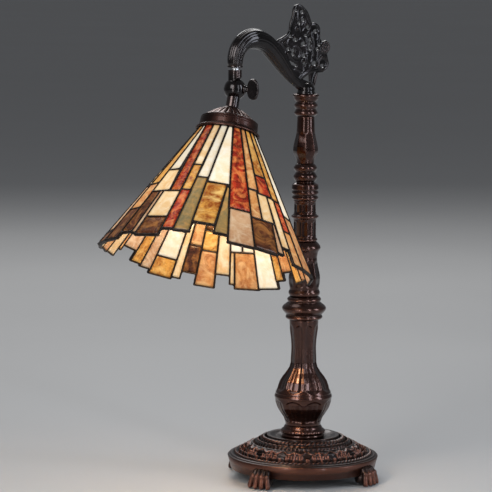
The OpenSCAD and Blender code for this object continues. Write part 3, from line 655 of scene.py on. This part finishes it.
def base_relief(r, theta):
    """Height of the casting's ornament over the plain dome."""
    height = np.zeros_like(r)
    for ring_r, strands, width, rise in ((44, 58, 2.0, 0.95), (52.5, 68, 1.8, 0.9), (73.2, 96, 1.9, 0.9)):
        across = (r - ring_r) / width
        twist = 0.55 + 0.45 * np.cos(strands * theta + 2.4 * across)
        height += rise * twist * np.clip(1 - across ** 2, 0, 1) ** 0.6
    for line_r, rise in ((40.5, 0.4), (48.4, 0.35), (55.0, 0.3), (70.2, 0.35), (77.2, 0.6)):
        height += rise * np.exp(-((r - line_r) / 0.6) ** 2)
    cells = 14
    u = (theta * cells / (2 * math.pi)) % 1.0
    v = (r - 55.2) / 15.2
    band = ((v > 0) & (v < 1)).astype(float)
    edge = np.clip(np.minimum(v, 1 - v) * 9, 0, 1) * band
    height += 1.35 * edge * swirl_field(u, np.clip(v, 0, 1))
    inner = (r - 45.8) / 5.2
    beads = np.abs(np.cos(22 * theta)) * np.clip(1 - (2 * inner - 1) ** 2, 0, 1)
    height += 0.6 * beads * ((inner > 0) & (inner < 1))
    return height


def build_base():
    outline = base_outline()
    steps = np.hypot(*np.diff(outline, axis=0).T)
    along = np.concatenate([[0], np.cumsum(steps)])
    fine = np.linspace(0, along[-1], 210)
    r = smoothed(np.interp(fine, along, outline[:, 0]), 5)
    z = smoothed(np.interp(fine, along, outline[:, 1]), 5)
    columns = 900
    theta = np.arange(columns) * 2 * math.pi / columns
    rr, tt = np.meshgrid(r, theta, indexing="ij")
    zz = np.broadcast_to(z[:, None], rr.shape)
    tangent = np.stack([np.gradient(r), np.gradient(z)], -1)
    tangent /= np.linalg.norm(tangent, axis=1)[:, None]
    normal = np.stack([tangent[:, 1], -tangent[:, 0]], -1)
    if normal[-5, 1] < 0:
        normal = -normal
    relief = base_relief(rr, tt)
    ribs = 0.22 * np.cos(110 * tt) * fade(zz, SKIRT_Z + 1.5, 22.5, 1.5) * (rr > BASE_R - 2)
    height = relief - 0.9 * (rr < BASE_R - 2) * (rr > 39) * 0.6 + ribs - 0.25 * (ribs != 0)
    out_r = rr + height * normal[:, None, 0]
    out_z = zz + height * normal[:, None, 1]
    wear = np.clip((relief - 0.35) / 1.1, 0, 1) * 0.9
    wear = np.maximum(wear, 0.35 * np.exp(-((zz - 24.2) / 0.9) ** 2) * (rr > BASE_R - 3))
    wall = 4.0
    in_r = [np.full(columns, 8.0), np.full(columns, 8.0), np.full(columns, 40.0)]
    in_z = [np.full(columns, float(z[-1])), np.full(columns, float(z[-1]) - wall),
            np.full(columns, float(z[-1]) - wall)]
    for inner_r, inner_z in ((47, 37.6), (62, 30), (71, 24.6), (BASE_R - wall, 23)):
        in_r.append(np.full(columns, float(inner_r)))
        in_z.append(np.full(columns, float(inner_z)))
    in_r.append(np.full(columns, BASE_R - wall))
    in_z.append(np.full(columns, SKIRT_Z))
    all_r = np.vstack([out_r, np.array(in_r)])
    all_z = np.vstack([out_z, np.array(in_z)])
    wear = np.vstack([wear, np.zeros((len(in_r), columns))])
    angle = np.broadcast_to(theta, all_r.shape)
    points = np.stack([all_r * np.cos(angle), all_r * np.sin(angle), all_z], -1)
    obj = new_object("v_base_casting", points,
                     grid_faces(len(all_r), columns, wrap_rows=True), {"wear": wear})
    outwards(obj)
    finish_piece(obj, "stand", "antique_bronze", "base_casting")


build_base()

TOE_PITCH = 7.3


def build_paw(number):
    """A lion's paw: four toes with knuckles and claws below a swelling ankle."""
    lowest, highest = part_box(f"paw_foot_{number}")
    middle = (lowest + highest) / 2
    angle = math.atan2(middle.y, middle.x)
    parts = []
    for i in (-1.5, -0.5, 0.5, 1.5):
        y = i * TOE_PITCH
        back = abs(i) * 1.2
        path = [(78.0 - back, y * 0.55, 20.4), (82.4 - back, y * 0.68, 17.6),
                (85.6 - back, y * 0.82, 12.6), (86.6 - back, y * 0.92, 8.4),
                (87.2 - back, y, 4.2)]
        parts.append(tube(path, [2.1, 2.9, 3.0, 3.1, 3.0], 14))
        parts.append(ball((86.0 - back, y * 0.80, 12.8), 3.6, (0.9, 0.95, 1.0)))
        parts.append(ball((87.3 - back, y, 4.0), 3.5, (0.85, 0.9, 1.0)))
        parts.append(tube([(88.8 - back, y, 4.4), (89.8 - back, y, 2.2), (89.4 - back, y, 0.7)],
                          [1.5, 1.0, 0.5], 8))
    parts.append(ball((76.5, 0, 7.5), 9.6, (0.95, 1.12, 0.82)))
    parts.append(ball((76.5, 0, 15.5), 7.0, (0.7, 1.2, 0.9)))
    obj = joined(f"v_paw_foot_{number}", parts)
    remeshed(obj, 0.55, 2, 0.4)
    co = points_of(obj)
    low_cut = co[:, 2] < 0.3
    co[low_cut, 2] = 0.3
    inside = np.hypot(co[:, 0], co[:, 1]) < 64.5
    co[inside, 0] = np.maximum(co[inside, 0], 64.5)
    turn_z = rotation("Z", angle)
    wear = np.clip((co[:, 0] - 84.5) / 6, 0, 0.7)
    co = co @ turn_z.T
    obj.data.vertices.foreach_set("co", (co * MM).ravel())
    layer = obj.data.attributes.new("wear", "FLOAT", "POINT")
    layer.data.foreach_set("value", wear.astype(np.float32))
    obj.data.update()
    finish_piece(obj, "stand", "antique_bronze", f"paw_foot_{number}")


for paw in (1, 2, 3, 4):
    build_paw(paw)


# ---- arm and crest ---------------------------------------------------------------------------

BEND_R = 23.5
CROWN_R = 38.0
BEND = np.array([BALL[0] + BEND_R, 449.5])
CROWN_Z = BEND[1] + BEND_R
DESCENT = math.radians(42)


def arm_path():
    """The arm's centreline in its plane [x, z] and its radius, from the tip to the column."""
    points, radii = [(BALL[0], 443.9)], [8.0]
    for a in np.radians(np.linspace(90, 0, 24)):
        points.append((BEND[0] - BEND_R * math.sin(a), BEND[1] + BEND_R * math.cos(a)))
        radii.append(8.0 + 2.8 * (1 - a / math.radians(90)))
    for a in np.linspace(0, DESCENT, 14)[1:]:
        points.append((BEND[0] + CROWN_R * math.sin(a), CROWN_Z - CROWN_R * (1 - math.cos(a))))
        radii.append(10.8 - a / DESCENT)
    start = np.array(points[-1])
    end = np.array([2, COLUMN_TOP + 5.8])
    slack = math.radians(12)
    one = start + 30 * np.array([math.cos(DESCENT), -math.sin(DESCENT)])
    two = end - 24 * np.array([math.cos(slack), -math.sin(slack)])
    for t in np.linspace(0, 1, 40)[1:]:
        p = (1 - t) ** 3 * start + 3 * t * (1 - t) ** 2 * one
        p = p + 3 * t * t * (1 - t) * two + t ** 3 * end
        points.append(tuple(p))
        radii.append(9.8 + (5.2 - 9.8) * (1 - math.cos(math.pi * min(1, 1.15 * t))) / 2)
    return np.array(points), np.array(radii)


def build_arm():
    path, radii = arm_path()
    count = len(path)
    ahead = np.gradient(path, axis=0)
    ahead /= np.linalg.norm(ahead, axis=1)[:, None]
    side = np.stack([-ahead[:, 1], ahead[:, 0]], -1)
    sides = 144
    a = np.arange(sides) * 2 * math.pi / sides
    ridges = 0.45 * np.abs(np.cos(4 * a)) ** 0.5 - 0.45
    lines = -0.85 * np.exp(-(np.sin(4 * a + 0.4) / 0.24) ** 2)
    grow = np.clip(np.arange(count) / 3.0, 0, 1)[:, None]
    ring = radii[:, None] + (ridges + lines)[None, :] * grow * np.clip(radii / 9, 0.5, 1)[:, None]
    across = ring * np.cos(a)[None, :]
    points = np.stack([path[:, None, 0] + across * side[:, None, 0],
                       ring * np.sin(a)[None, :],
                       path[:, None, 1] + across * side[:, None, 1]], -1)
    faces = list(grid_faces(count, sides))
    faces.append(np.arange(sides)[::-1])
    faces.append(np.arange(sides) + (count - 1) * sides)
    parts = [(points, faces)]
    collar = [(3.0, 443.9), (8.1, 443.9), (8.15, 444.6), (8.0, 445.7), (7.6, 446.3), (3.0, 446.3)]
    parts.append(revolved(collar, 64, (BALL[0], 0, 0)))
    foot = [(BORE, COLUMN_TOP), (9.9, COLUMN_TOP), (10.2, COLUMN_TOP + 0.5),
            (10.1, COLUMN_TOP + 1.5), (9.3, COLUMN_TOP + 2.4), (9.1, COLUMN_TOP + 4.0),
            (9.5, COLUMN_TOP + 5.4), (9.0, COLUMN_TOP + 7.2), (7.6, COLUMN_TOP + 9.6),
            (6.0, COLUMN_TOP + 11.2), (BORE, COLUMN_TOP + 11.6)]
    parts.append(revolved(foot, 64))
    obj = joined("v_bridge_arm", parts)
    outwards(obj)
    finish_piece(obj, "stand", "gunmetal_bronze", "bridge_arm")


def revolved(outline, columns, centre=(0, 0, 0)):
    """A closed ring turned from an outline [r, z]."""
    outline = np.asarray(outline, float)
    theta = np.arange(columns) * 2 * math.pi / columns
    r = outline[:, 0][:, None]
    points = np.stack([r * np.cos(theta), r * np.sin(theta),
                       np.broadcast_to(outline[:, 1][:, None], (len(outline), columns))], -1)
    return points + np.array(centre), grid_faces(len(outline), columns, wrap_rows=True)


def spiral(centre, radius, start, sweep, tighten, count=22):
    """Points of a scroll in the arm's plane, tightening towards its eye."""
    out = []
    for t in np.linspace(0, 1, count):
        a = math.radians(start + sweep * t)
        r = radius * (1 - tighten * t)
        out.append((centre[0] + r * math.cos(a), 0.0, centre[1] + r * math.sin(a)))
    return out


def bent(*corners, count=24):
    """A smooth curve through corners of the arm's plane."""
    corners = np.asarray(corners, float)
    t = np.concatenate([[0], np.cumsum(np.hypot(*np.diff(corners, axis=0).T))])
    fine = np.linspace(0, t[-1], count)
    x = smoothed(np.interp(fine, t, corners[:, 0]), 5)
    z = smoothed(np.interp(fine, t, corners[:, 1]), 5)
    return np.stack([x, np.zeros(count), z], -1)


def taper(count, thick, thin):
    """Radii that swell in the middle of a curve and thin to its ends."""
    t = np.linspace(0, 1, count)
    return thin + (thick - thin) * np.sin(math.pi * t) ** 0.7


def crest_scrolls():
    """The crest's raised work: border ropes, scrolls, leaves, a rosette and a ring lobe."""
    work = []

    def rope(path, thick, thin=0.8, flat=1.0):
        path = np.asarray(path, float)
        work.append(tube(path, taper(len(path), thick, thin), 12, flat))

    # border of the lower left edge, then the tall leaf's two rims
    rope(bent((-47, 462.5), (-40.9, 470.0), (-34, 472.2), (-27.5, 475.5), (-24.6, 480)), 1.9, 1.3, 1.05)
    rope(bent((-40.9, 469.5), (-32.6, 463.3), (-24.5, 454.6), (-16.8, 447.6), (-8.5, 449.2)), 1.7, 1.0, 1.05)
    rope(bent((-24.6, 479.5), (-23.6, 487), (-19.4, 496), (-19.0, 501), (-16.5, 505.6), (-12.6, 507.0)),
         1.8, 1.1, 1.05)
    rope(bent((-12.6, 507.0), (-7.4, 504.7), (-1.0, 499.4), (2.6, 493), (5.6, 486.5)), 2.0, 1.2, 1.05)
    # the leaf's midrib and veins
    rope(bent((-13.8, 505.5), (-13.5, 495), (-10, 484), (-8, 474)), 1.5, 0.7, 1.05)
    for k in range(4):
        z = 477 + 6.2 * k
        rope(bent((-10.5 - 0.8 * k, z), (-16.5 - 0.2 * k, z + 4.5), (-19.6 + 1.1 * k, z + 9)), 1.2, 0.7, 1.05)
        rope(bent((-9.5 - 0.8 * k, z), (-4.0 - 1.2 * k, z + 5), (-0.5 - 2.2 * k, z + 8.5)), 1.3, 0.7, 1.05)
    # the middle C-scroll and its fellows
    rope(spiral((-14.9, 456.2), 8.4, 150, -400, 0.72), 1.7, 1.0, 1.05)
    rope(spiral((-9.5, 468.5), 6.6, 200, 330, 0.7), 1.5, 0.9, 1.05)
    rope(spiral((-24.5, 467.0), 5.0, 20, 330, 0.65), 1.4, 0.9, 1.05)
    rope(spiral((-3.0, 458.2), 6.0, 110, -300, 0.6), 1.5, 0.9, 1.05)
    rope(spiral((12.5, 475.5), 6.2, 250, 330, 0.65), 1.6, 0.9, 1.05)
    rope(spiral((4.5, 449.5), 6.5, 60, 300, 0.6), 1.6, 1.0, 1.05)
    rope(spiral((-8.6, 438.5), 5.6, 100, -300, 0.6), 1.5, 0.9, 1.05)
    # long sword leaves that rise behind the rosette
    rope(bent((7.5, 446), (9.6, 456), (9.0, 468), (7.0, 480)), 2.2, 0.9, 1.05)
    rope(bent((14.5, 447), (17.6, 457), (17.0, 468), (15.4, 478)), 1.9, 0.9, 1.05)
    rope(bent((1.2, 448), (0.6, 458), (0.2, 468), (-1.2, 480)), 1.6, 0.9, 1.05)
    # bud on the right, the rail under it, and the ring lobe
    bud = bent((6.7, 485.6), (10.2, 486.4), (13.4, 486), (17.2, 482.2), (17.2, 476), (16.8, 471))
    rope(bud, 1.9, 1.2, 1.05)
    rope(spiral((23.1, 444.5), 6.6, 0, 360, 0.0, 30), 2.3, 2.2, 1.05)
    rope(bent((14.0, 434.8), (11.0, 428), (9.6, 421)), 2.5, 2.1, 1.1)
    rope(bent((-14, 425.5), (-8, 431.5), (0.0, 435.4), (9, 437.2), (16.5, 438.4)), 2.0, 1.3, 1.05)
    rope(bent((-24.5, 437), (-16, 439.5), (-6, 437), (3.4, 435)), 1.5, 1.0, 1.05)
    # rosette with a serrated edge
    centre = (26.4, 462.0)
    work.append(ball((centre[0], 0, centre[1]), 2.6, (1, 1.35, 1)))
    for k in range(9):
        a = k * 2 * math.pi / 9
        x = centre[0] + 4.7 * math.cos(a)
        z = centre[1] + 4.7 * math.sin(a)
        work.append(ball((x, 0, z), 2.35, (1, 1.25, 1)))
    # small beads between the scrolls
    for x, z in ((-1.6, 486.8), (-15, 482), (-19.5, 473.5), (-33.5, 468.5), (5.5, 441.5), (20.8, 451.6),
                 (20.6, 457.4), (-5.6, 447.5), (14.4, 441.8), (2.8, 477.2), (-29.5, 456.5)):
        work.append(ball((x, 0, z), 1.9, (1, 1.5, 1)))
    return work


PIERCED = (
    (-17, 501.4, 1.2), (-8.1, 499.7, 1.5), (-6.5, 491, 1.4), (-12.2, 488.1, 1.2), (11.5, 478.9, 1.8),
    (-2.3, 474.7, 1.2), (-17.7, 470.7, 1.6), (-25, 474.4, 1.1), (-27.4, 461.1, 1.5), (-4.9, 453.7, 1.9),
    (10.4, 444.9, 2.3), (22.1, 441.9, 1.8), (-20.4, 445.2, 1.1), (-16.4, 443.4, 1.0),
    (-20.4, 459.4, 1.5), (-20.8, 455.6, 1.3), (4.0, 470.2, 1.4), (3.6, 465.5, 1.2), (3.1, 460.6, 1.3),
    (17.0, 464.4, 1.2), (15.0, 460.4, 1.2), (-3.9, 445.6, 1.1), (0.5, 483.6, 1.3), (-5.6, 466.0, 2.0),
)


def pierce(obj):
    """Opens the crest's piercings through the raised work."""
    cutters = []
    for x, z, r in PIERCED:
        path = [(x, -6, z), (x, 0, z), (x, 6, z)]
        cutters.append(tube(path, r + 0.2, 14, (r + 1.5) / (r + 0.2), (1, 0, 0)))
    corners = np.array([(-6.2, 428.8), (4.6, 425.2), (3.6, 434.0)])
    prism = np.vstack([np.insert(corners, 1, -6, axis=1), np.insert(corners, 1, 6, axis=1)])
    cutters.append((prism, [(0, 1, 2), (5, 4, 3), (0, 3, 4, 1), (1, 4, 5, 2), (2, 5, 3, 0)]))
    cutter = outwards(joined("crest_cutter", cutters))
    cut = obj.modifiers.new("pierce", "BOOLEAN")
    cut.operation = "DIFFERENCE"
    cut.object = cutter
    cut.solver = "EXACT"
    graph = bpy.context.evaluated_depsgraph_get()
    mesh = bpy.data.meshes.new_from_object(obj.evaluated_get(graph))
    obj.modifiers.clear()
    obj.data = mesh
    bpy.data.objects.remove(cutter)


def build_crest():
    """The openwork crest, cast in one: a thin web with its piercings, and the raised work over it."""
    web_object = frame["nodes"]["arm_crest"]
    web = web_object.data.copy()
    obj = bpy.data.objects.new("crest_web", web)
    bpy.context.scene.collection.objects.link(obj)
    co = points_of(obj)
    co[:, 1] *= 0.36
    obj.data.vertices.foreach_set("co", (co * MM).ravel())
    faces = [list(p.vertices) for p in obj.data.polygons]
    parts = [(co, faces)] + crest_scrolls()
    bpy.data.objects.remove(obj)
    crest = joined("v_arm_crest", parts)
    remeshed(crest, 0.5, 0)
    pierce(crest)
    remeshed(crest, 0.45, 1, 0.4)
    lowest, highest = (np.array(c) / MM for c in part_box("arm_crest"))
    co = np.clip(points_of(crest), lowest, highest)
    crest.data.vertices.foreach_set("co", (co * MM).ravel())
    wear = np.clip((np.abs(co[:, 1]) - 2.0) / 1.2, 0, 0.5)
    layer = crest.data.attributes.new("wear", "FLOAT", "POINT")
    layer.data.foreach_set("value", wear.astype(np.float32))
    crest.data.update()
    finish_piece(crest, "stand", "gunmetal_bronze", "arm_crest")


build_arm()
build_crest()


# ---- swivel ----------------------------------------------------------------------------------


def build_key():
    """The thumb key: a collared shaft and an oval wing, dished on both faces."""
    rows, cols = 14, 64
    theta = np.arange(cols) * 2 * math.pi / cols
    parts = []
    half_w, half_h, half_t = 11.0, 6.6, 1.8
    for_side = []
    for side in (-1, 1):
        for q in np.linspace(0.02, 1, rows):
            rim = min(1.0, max(0.0, (1 - q) / 0.14))
            dish = half_t * (0.62 + 0.38 * math.sin(math.pi * min(1, rim) / 2) * (0.5 + 0.5 * q))
            if q > 0.86:
                dish = half_t * math.sqrt(max(0.02, 1 - ((q - 0.86) / 0.14) ** 2)) * 0.95
            for_side.append((side, q, dish))
    ordered = [s for s in for_side if s[0] == -1] + [s for s in for_side if s[0] == 1][::-1][1:]
    grid = []
    for side, q, dish in ordered:
        x = half_w * q * np.sign(np.cos(theta)) * np.abs(np.cos(theta)) ** 0.9
        z = 20.5 + half_h * q * np.sign(np.sin(theta)) * np.abs(np.sin(theta)) ** 0.8
        y = np.full(cols, side * (dish if q < 0.999 else 0.0))
        grid.append(np.stack([x, y, z], -1))
    points = np.array(grid)
    faces = list(grid_faces(len(grid), cols))
    faces.append(np.arange(cols)[::-1])
    faces.append(np.arange(cols) + (len(grid) - 1) * cols)
    parts.append((from_key(points.reshape(-1, 3)), faces))
    shaft = [(0.05, -4.5), (2.3, -4.5), (2.5, -4.2), (2.5, 10.4), (4.2, 10.5), (4.5, 11.2), (4.4, 12.2),
             (3.4, 12.8), (3.0, 13.6), (3.2, 15.2), (0.05, 16.5)]
    ring, ring_faces = revolved(shaft, 40)
    parts.append((from_key(ring.reshape(-1, 3)), ring_faces))
    obj = joined("v_swivel_key", parts)
    outwards(obj)
    finish_piece(obj, "key", "gunmetal_bronze", "swivel_key")


build_key()


# ---- shade: cap, lead and glass --------------------------------------------------------------


def build_cap():
    """The shade's cap: a dome of 24 gadroons over a ringed band with a rolled lip."""
    outline = np.array([
        (5.1, 24.0), (5.1, 20.6), (7.4, 20.5), (8.6, 21.2), (9.4, 22.2), (11, 22.9), (15, 24.6), (20, 27.8),
        (25, 31.5), (27.6, 33.4), (28.8, 34.3), (29.9, 34.9), (30.0, 35.8), (29.5, 36.2), (30.1, 36.7),
        (30.3, 38.2), (29.9, 38.5), (30.3, 38.9), (30.4, 43.6), (30.0, 44.0), (30.5, 44.5), (31.2, 45.4),
        (32.9, 46.3), (33.5, 47.2), (33.5, 48.2), (33.1, 48.7), (32.3, 48.7), (32.0, 47.0), (29.0, 46.2),
        (28.4, 36.4), (24, 32.8), (19, 29.2), (14, 26.2), (9, 24.2),
    ])
    closed = np.vstack([outline, outline[:1]])
    along = np.concatenate([[0], np.cumsum(np.hypot(*np.diff(closed, axis=0).T))])
    fine = np.linspace(0, along[-1], 260)[:-1]
    r = np.interp(fine, along, closed[:, 0])
    s = np.interp(fine, along, closed[:, 1])
    columns = 288
    theta = np.arange(columns) * 2 * math.pi / columns
    rr, tt = np.meshgrid(r, theta, indexing="ij")
    ss = np.broadcast_to(s[:, None], rr.shape)
    outer = (np.arange(len(r)) < np.argmax(s > 48.6)).astype(float)[:, None]
    dome = fade(rr, 10.5, 28.6, 2.0) * outer * (ss < 35)
    groove = np.abs(np.sin(12 * tt)) ** 0.55
    drop = 1.4 * dome * (1 - groove)
    points = np.stack([rr * np.cos(tt), rr * np.sin(tt), -(ss + drop)], -1)
    wear = 0.35 * dome * groove + 0.4 * outer * np.exp(-((ss - 47.4) / 0.8) ** 2)
    obj = new_object("v_shade_cap", from_shade(points.reshape(-1, 3)),
                     grid_faces(len(r), columns, wrap_rows=True), {"wear": wear})
    outwards(obj)
    finish_piece(obj, "shade", "cap_bronze", "shade_cap")


def pane_corners(node):
    """Each pane of a glass node as its outer and inner corners, in the shade's frame."""
    work = bmesh.new()
    work.from_mesh(frame["nodes"][node].data)
    bmesh.ops.remove_doubles(work, verts=work.verts, dist=0.02 * MM)
    seen, panes = set(), []
    for start in work.verts:
        if start.index in seen:
            continue
        stack, group = [start], []
        seen.add(start.index)
        while stack:
            vert = stack.pop()
            group.append(np.array(vert.co) / MM)
            for edge in vert.link_edges:
                other = edge.other_vert(vert)
                if other.index not in seen:
                    seen.add(other.index)
                    stack.append(other)
        panes.append(to_shade(np.array(group)))
    work.free()
    return [ordered_pane(p) for p in panes if len(p) == 8]


def ordered_pane(points):
    """Four outer corners then four inner ones, each from top left round to foot left."""
    mid = points.mean(0)
    omega = math.atan2(mid[1], mid[0])
    out = np.array([math.cos(omega) * math.cos(CONE), math.sin(omega) * math.cos(CONE), math.sin(CONE)])
    down = np.array([math.cos(omega) * math.sin(CONE), math.sin(omega) * math.sin(CONE), -math.cos(CONE)])
    across = np.array([-math.sin(omega), math.cos(omega), 0])
    level = points @ out
    sheets = []
    for sheet in (points[level > level.mean()], points[level <= level.mean()]):
        order = np.argsort(sheet @ down)
        top, foot = sheet[order[:2]], sheet[order[2:]]
        top = top[np.argsort(top @ across)]
        foot = foot[np.argsort(foot @ across)]
        sheets.append(np.array([top[0], top[1], foot[1], foot[0]]))
    return sheets[0], sheets[1], out, down, across


def bilinear(corners, u, v):
    a, b, c, d = corners
    u = u[..., None]
    v = v[..., None]
    return (a * (1 - u) + b * u) * (1 - v) + (d * (1 - u) + c * u) * v


BULB_S = 122.0


def build_glass(node):
    """The panes of one glass, each a slightly rippled slab with softened edges. Their glow is brighter near the
    bulb and dimmed by painted shade along the edges.
    """
    points, faces, chance, glow, edge_shade = [], [], [], [], []
    start = 0
    for outer, inner, out, down, across in pane_corners(node):
        width = max(np.linalg.norm(outer[1] - outer[0]), np.linalg.norm(outer[2] - outer[3]))
        length = np.linalg.norm(outer[3] - outer[0])
        cols = int(np.clip(width / 2.2, 4, 14)) + 1
        rows = int(np.clip(length / 2.2, 5, 34)) + 1
        u = np.linspace(0, 1, cols)
        v = np.linspace(0, 1, rows)
        vv, uu = np.meshgrid(v, u, indexing="ij")
        wave = RNG.uniform(0, 6.28, 4)
        pick = float(RNG.uniform())
        inset = np.minimum(np.minimum(uu, 1 - uu) * width, np.minimum(vv, 1 - vv) * length)
        ripple = 0.16 * np.sin(uu * 5 + wave[0] + 2 * np.sin(vv * 4 + wave[1]))
        ripple += 0.12 * np.sin(vv * 13 + wave[2] + 3 * uu)
        ripple = ripple * np.clip(inset / 2.5, 0, 1)
        sheets = []
        for corners, sign in ((outer, -1.0), (inner, 1.0)):
            sheet = bilinear(corners, uu, vv)
            sink = sign * (0.25 * (inset < 0.1) + 0.2 - np.abs(ripple))
            sheets.append(sheet + out * sink[..., None])
        count = rows * cols
        points.append(sheets[0].reshape(-1, 3))
        points.append(sheets[1].reshape(-1, 3))
        front = grid_faces(rows, cols, wrap_cols=False)
        faces += list(front + start)
        faces += list(front[:, ::-1] + start + count)
        index = np.arange(count).reshape(rows, cols)
        rim = np.concatenate([index[0], index[1:, -1], index[-1, -2::-1], index[-2:0:-1, 0]])
        turn_on = np.roll(rim, -1)
        faces += [[a + start, a + start + count, b + start + count, b + start] for a, b in zip(rim, turn_on)]
        s = -sheets[0][..., 2].ravel()
        reach = np.hypot((s - BULB_S) / 62, 0.35)
        near = 0.60 + 0.36 * np.exp(-reach ** 2 * 1.15)
        # Painted shade: the glow dims to 0.62 within 2.2 mm of a pane's edge, as if under the solder.
        tone = (0.62 + 0.38 * np.clip(inset / 2.2, 0, 1)).ravel()
        for _ in range(2):
            chance.append(np.full(count, pick))
            glow.append(near)
            edge_shade.append(tone)
        start += 2 * count
    obj = new_object("v_" + node, from_shade(np.vstack(points)), faces, {
        "chance": np.concatenate(chance), "glow": np.concatenate(glow),
        "edge": np.concatenate(edge_shade),
    })
    outwards(obj)
    finish_piece(obj, "shade", node, node)


def build_lead():
    """Rounded solder along every gap between panes, and a small knot at each pane's corner."""
    parts = []
    seam = 0.95
    glass_nodes = [n for n in frame["nodes"] if n.startswith("glass_")]
    spots = []
    for node in sorted(glass_nodes):
        for pane in pane_corners(node):
            spots.append(pane)
    for outer, inner, out, down, across in spots:
        middle = (outer + inner) / 2
        grown = middle + np.array([
            -seam * down - seam * across, -seam * down + seam * across,
            seam * down + seam * across, seam * down - seam * across,
        ])
        for k in range(4):
            a, b = grown[k], grown[(k + 1) % 4]
            length = np.linalg.norm(b - a)
            if length < 1.0:
                continue
            steps = max(3, int(length / 2.5))
            t = np.linspace(0, 1, steps)[:, None]
            path = a + (b - a) * t
            wobble = 1.22 + 0.08 * np.sin(t[:, 0] * length * 0.9 + RNG.uniform(0, 6.28))
            along_out = np.broadcast_to(out, path.shape)
            parts.append(tube(path, wobble, 10, 1.75, along_out))
        for corner in grown:
            parts.append(tube([corner - out * 2.1, corner, corner + out * 2.1], [0.6, 1.25, 0.6], 8,
                              1.0, down))
    obj = joined("v_came_lattice", [(from_shade(p), f) for p, f in parts])
    remeshed(obj, 0.62, 1, 0.5)
    finish_piece(obj, "shade", "dark_solder", "came_lattice")


build_cap()
for glass_node in sorted(n for n in frame["nodes"] if n.startswith("glass_")):
    build_glass(glass_node)
build_lead()


# ---- floor, lights ---------------------------------------------------------------------------

bpy.ops.mesh.primitive_grid_add(x_subdivisions=8, y_subdivisions=8, size=90, location=(0, 0, 0))
floor = bpy.context.object
floor.name = "floor"
floor.data.materials.append(floor_paint())


def area_light(name, place, aim, size, power, colour=(1, 1, 1)):
    data = bpy.data.lights.new(name, "AREA")
    data.shape = "RECTANGLE"
    data.size = size[0]
    data.size_y = size[1]
    data.energy = power
    data.color = colour
    lamp = bpy.data.objects.new(name, data)
    lamp.location = place
    lamp.rotation_euler = (Vector(aim) - Vector(place)).to_track_quat("-Z", "Y").to_euler()
    lamp.visible_camera = False
    bpy.context.scene.collection.objects.link(lamp)


AIM = (-0.03, 0, 0.27)
area_light("key_softbox", (-2.2, -0.4, 1.5), AIM, (0.9, 1.5), 20)
area_light("side_softbox", (1.0, -1.8, 1.0), AIM, (0.5, 1.5), 15, (0.80, 0.88, 1.0))
area_light("back_softbox", (1.2, 1.6, 1.8), AIM, (1.4, 1.2), 20)
area_light("top_softbox", (0.4, 0.9, 2.6), AIM, (2.0, 1.0), 9)
area_light("left_strip", (-0.70, -0.30, 0.46), (0, 0, 0.20), (0.06, 0.9), 1.3)
area_light("front_strip", (-0.16, -0.72, 0.46), (0, 0, 0.20), (0.05, 0.9), 1.3, (0.86, 0.92, 1.0))

bulb_light = bpy.data.lights.new("bulb_light", "POINT")
bulb_light.energy = 0.8
bulb_light.color = (1.0, 0.66, 0.36)
bulb_light.shadow_soft_size = 0.022
bulb = bpy.data.objects.new("bulb_light", bulb_light)
bulb.location = from_shade([[0, 0, -BULB_S - 26]])[0] * MM
bpy.context.scene.collection.objects.link(bulb)

world = bpy.data.worlds.new("studio")
world.use_nodes = True
world.node_tree.nodes["Background"].inputs["Color"].default_value = (0.60, 0.62, 0.66, 1)
world.node_tree.nodes["Background"].inputs["Strength"].default_value = 0.20
bpy.context.scene.world = world
bpy.context.scene.view_settings.view_transform = "Standard"
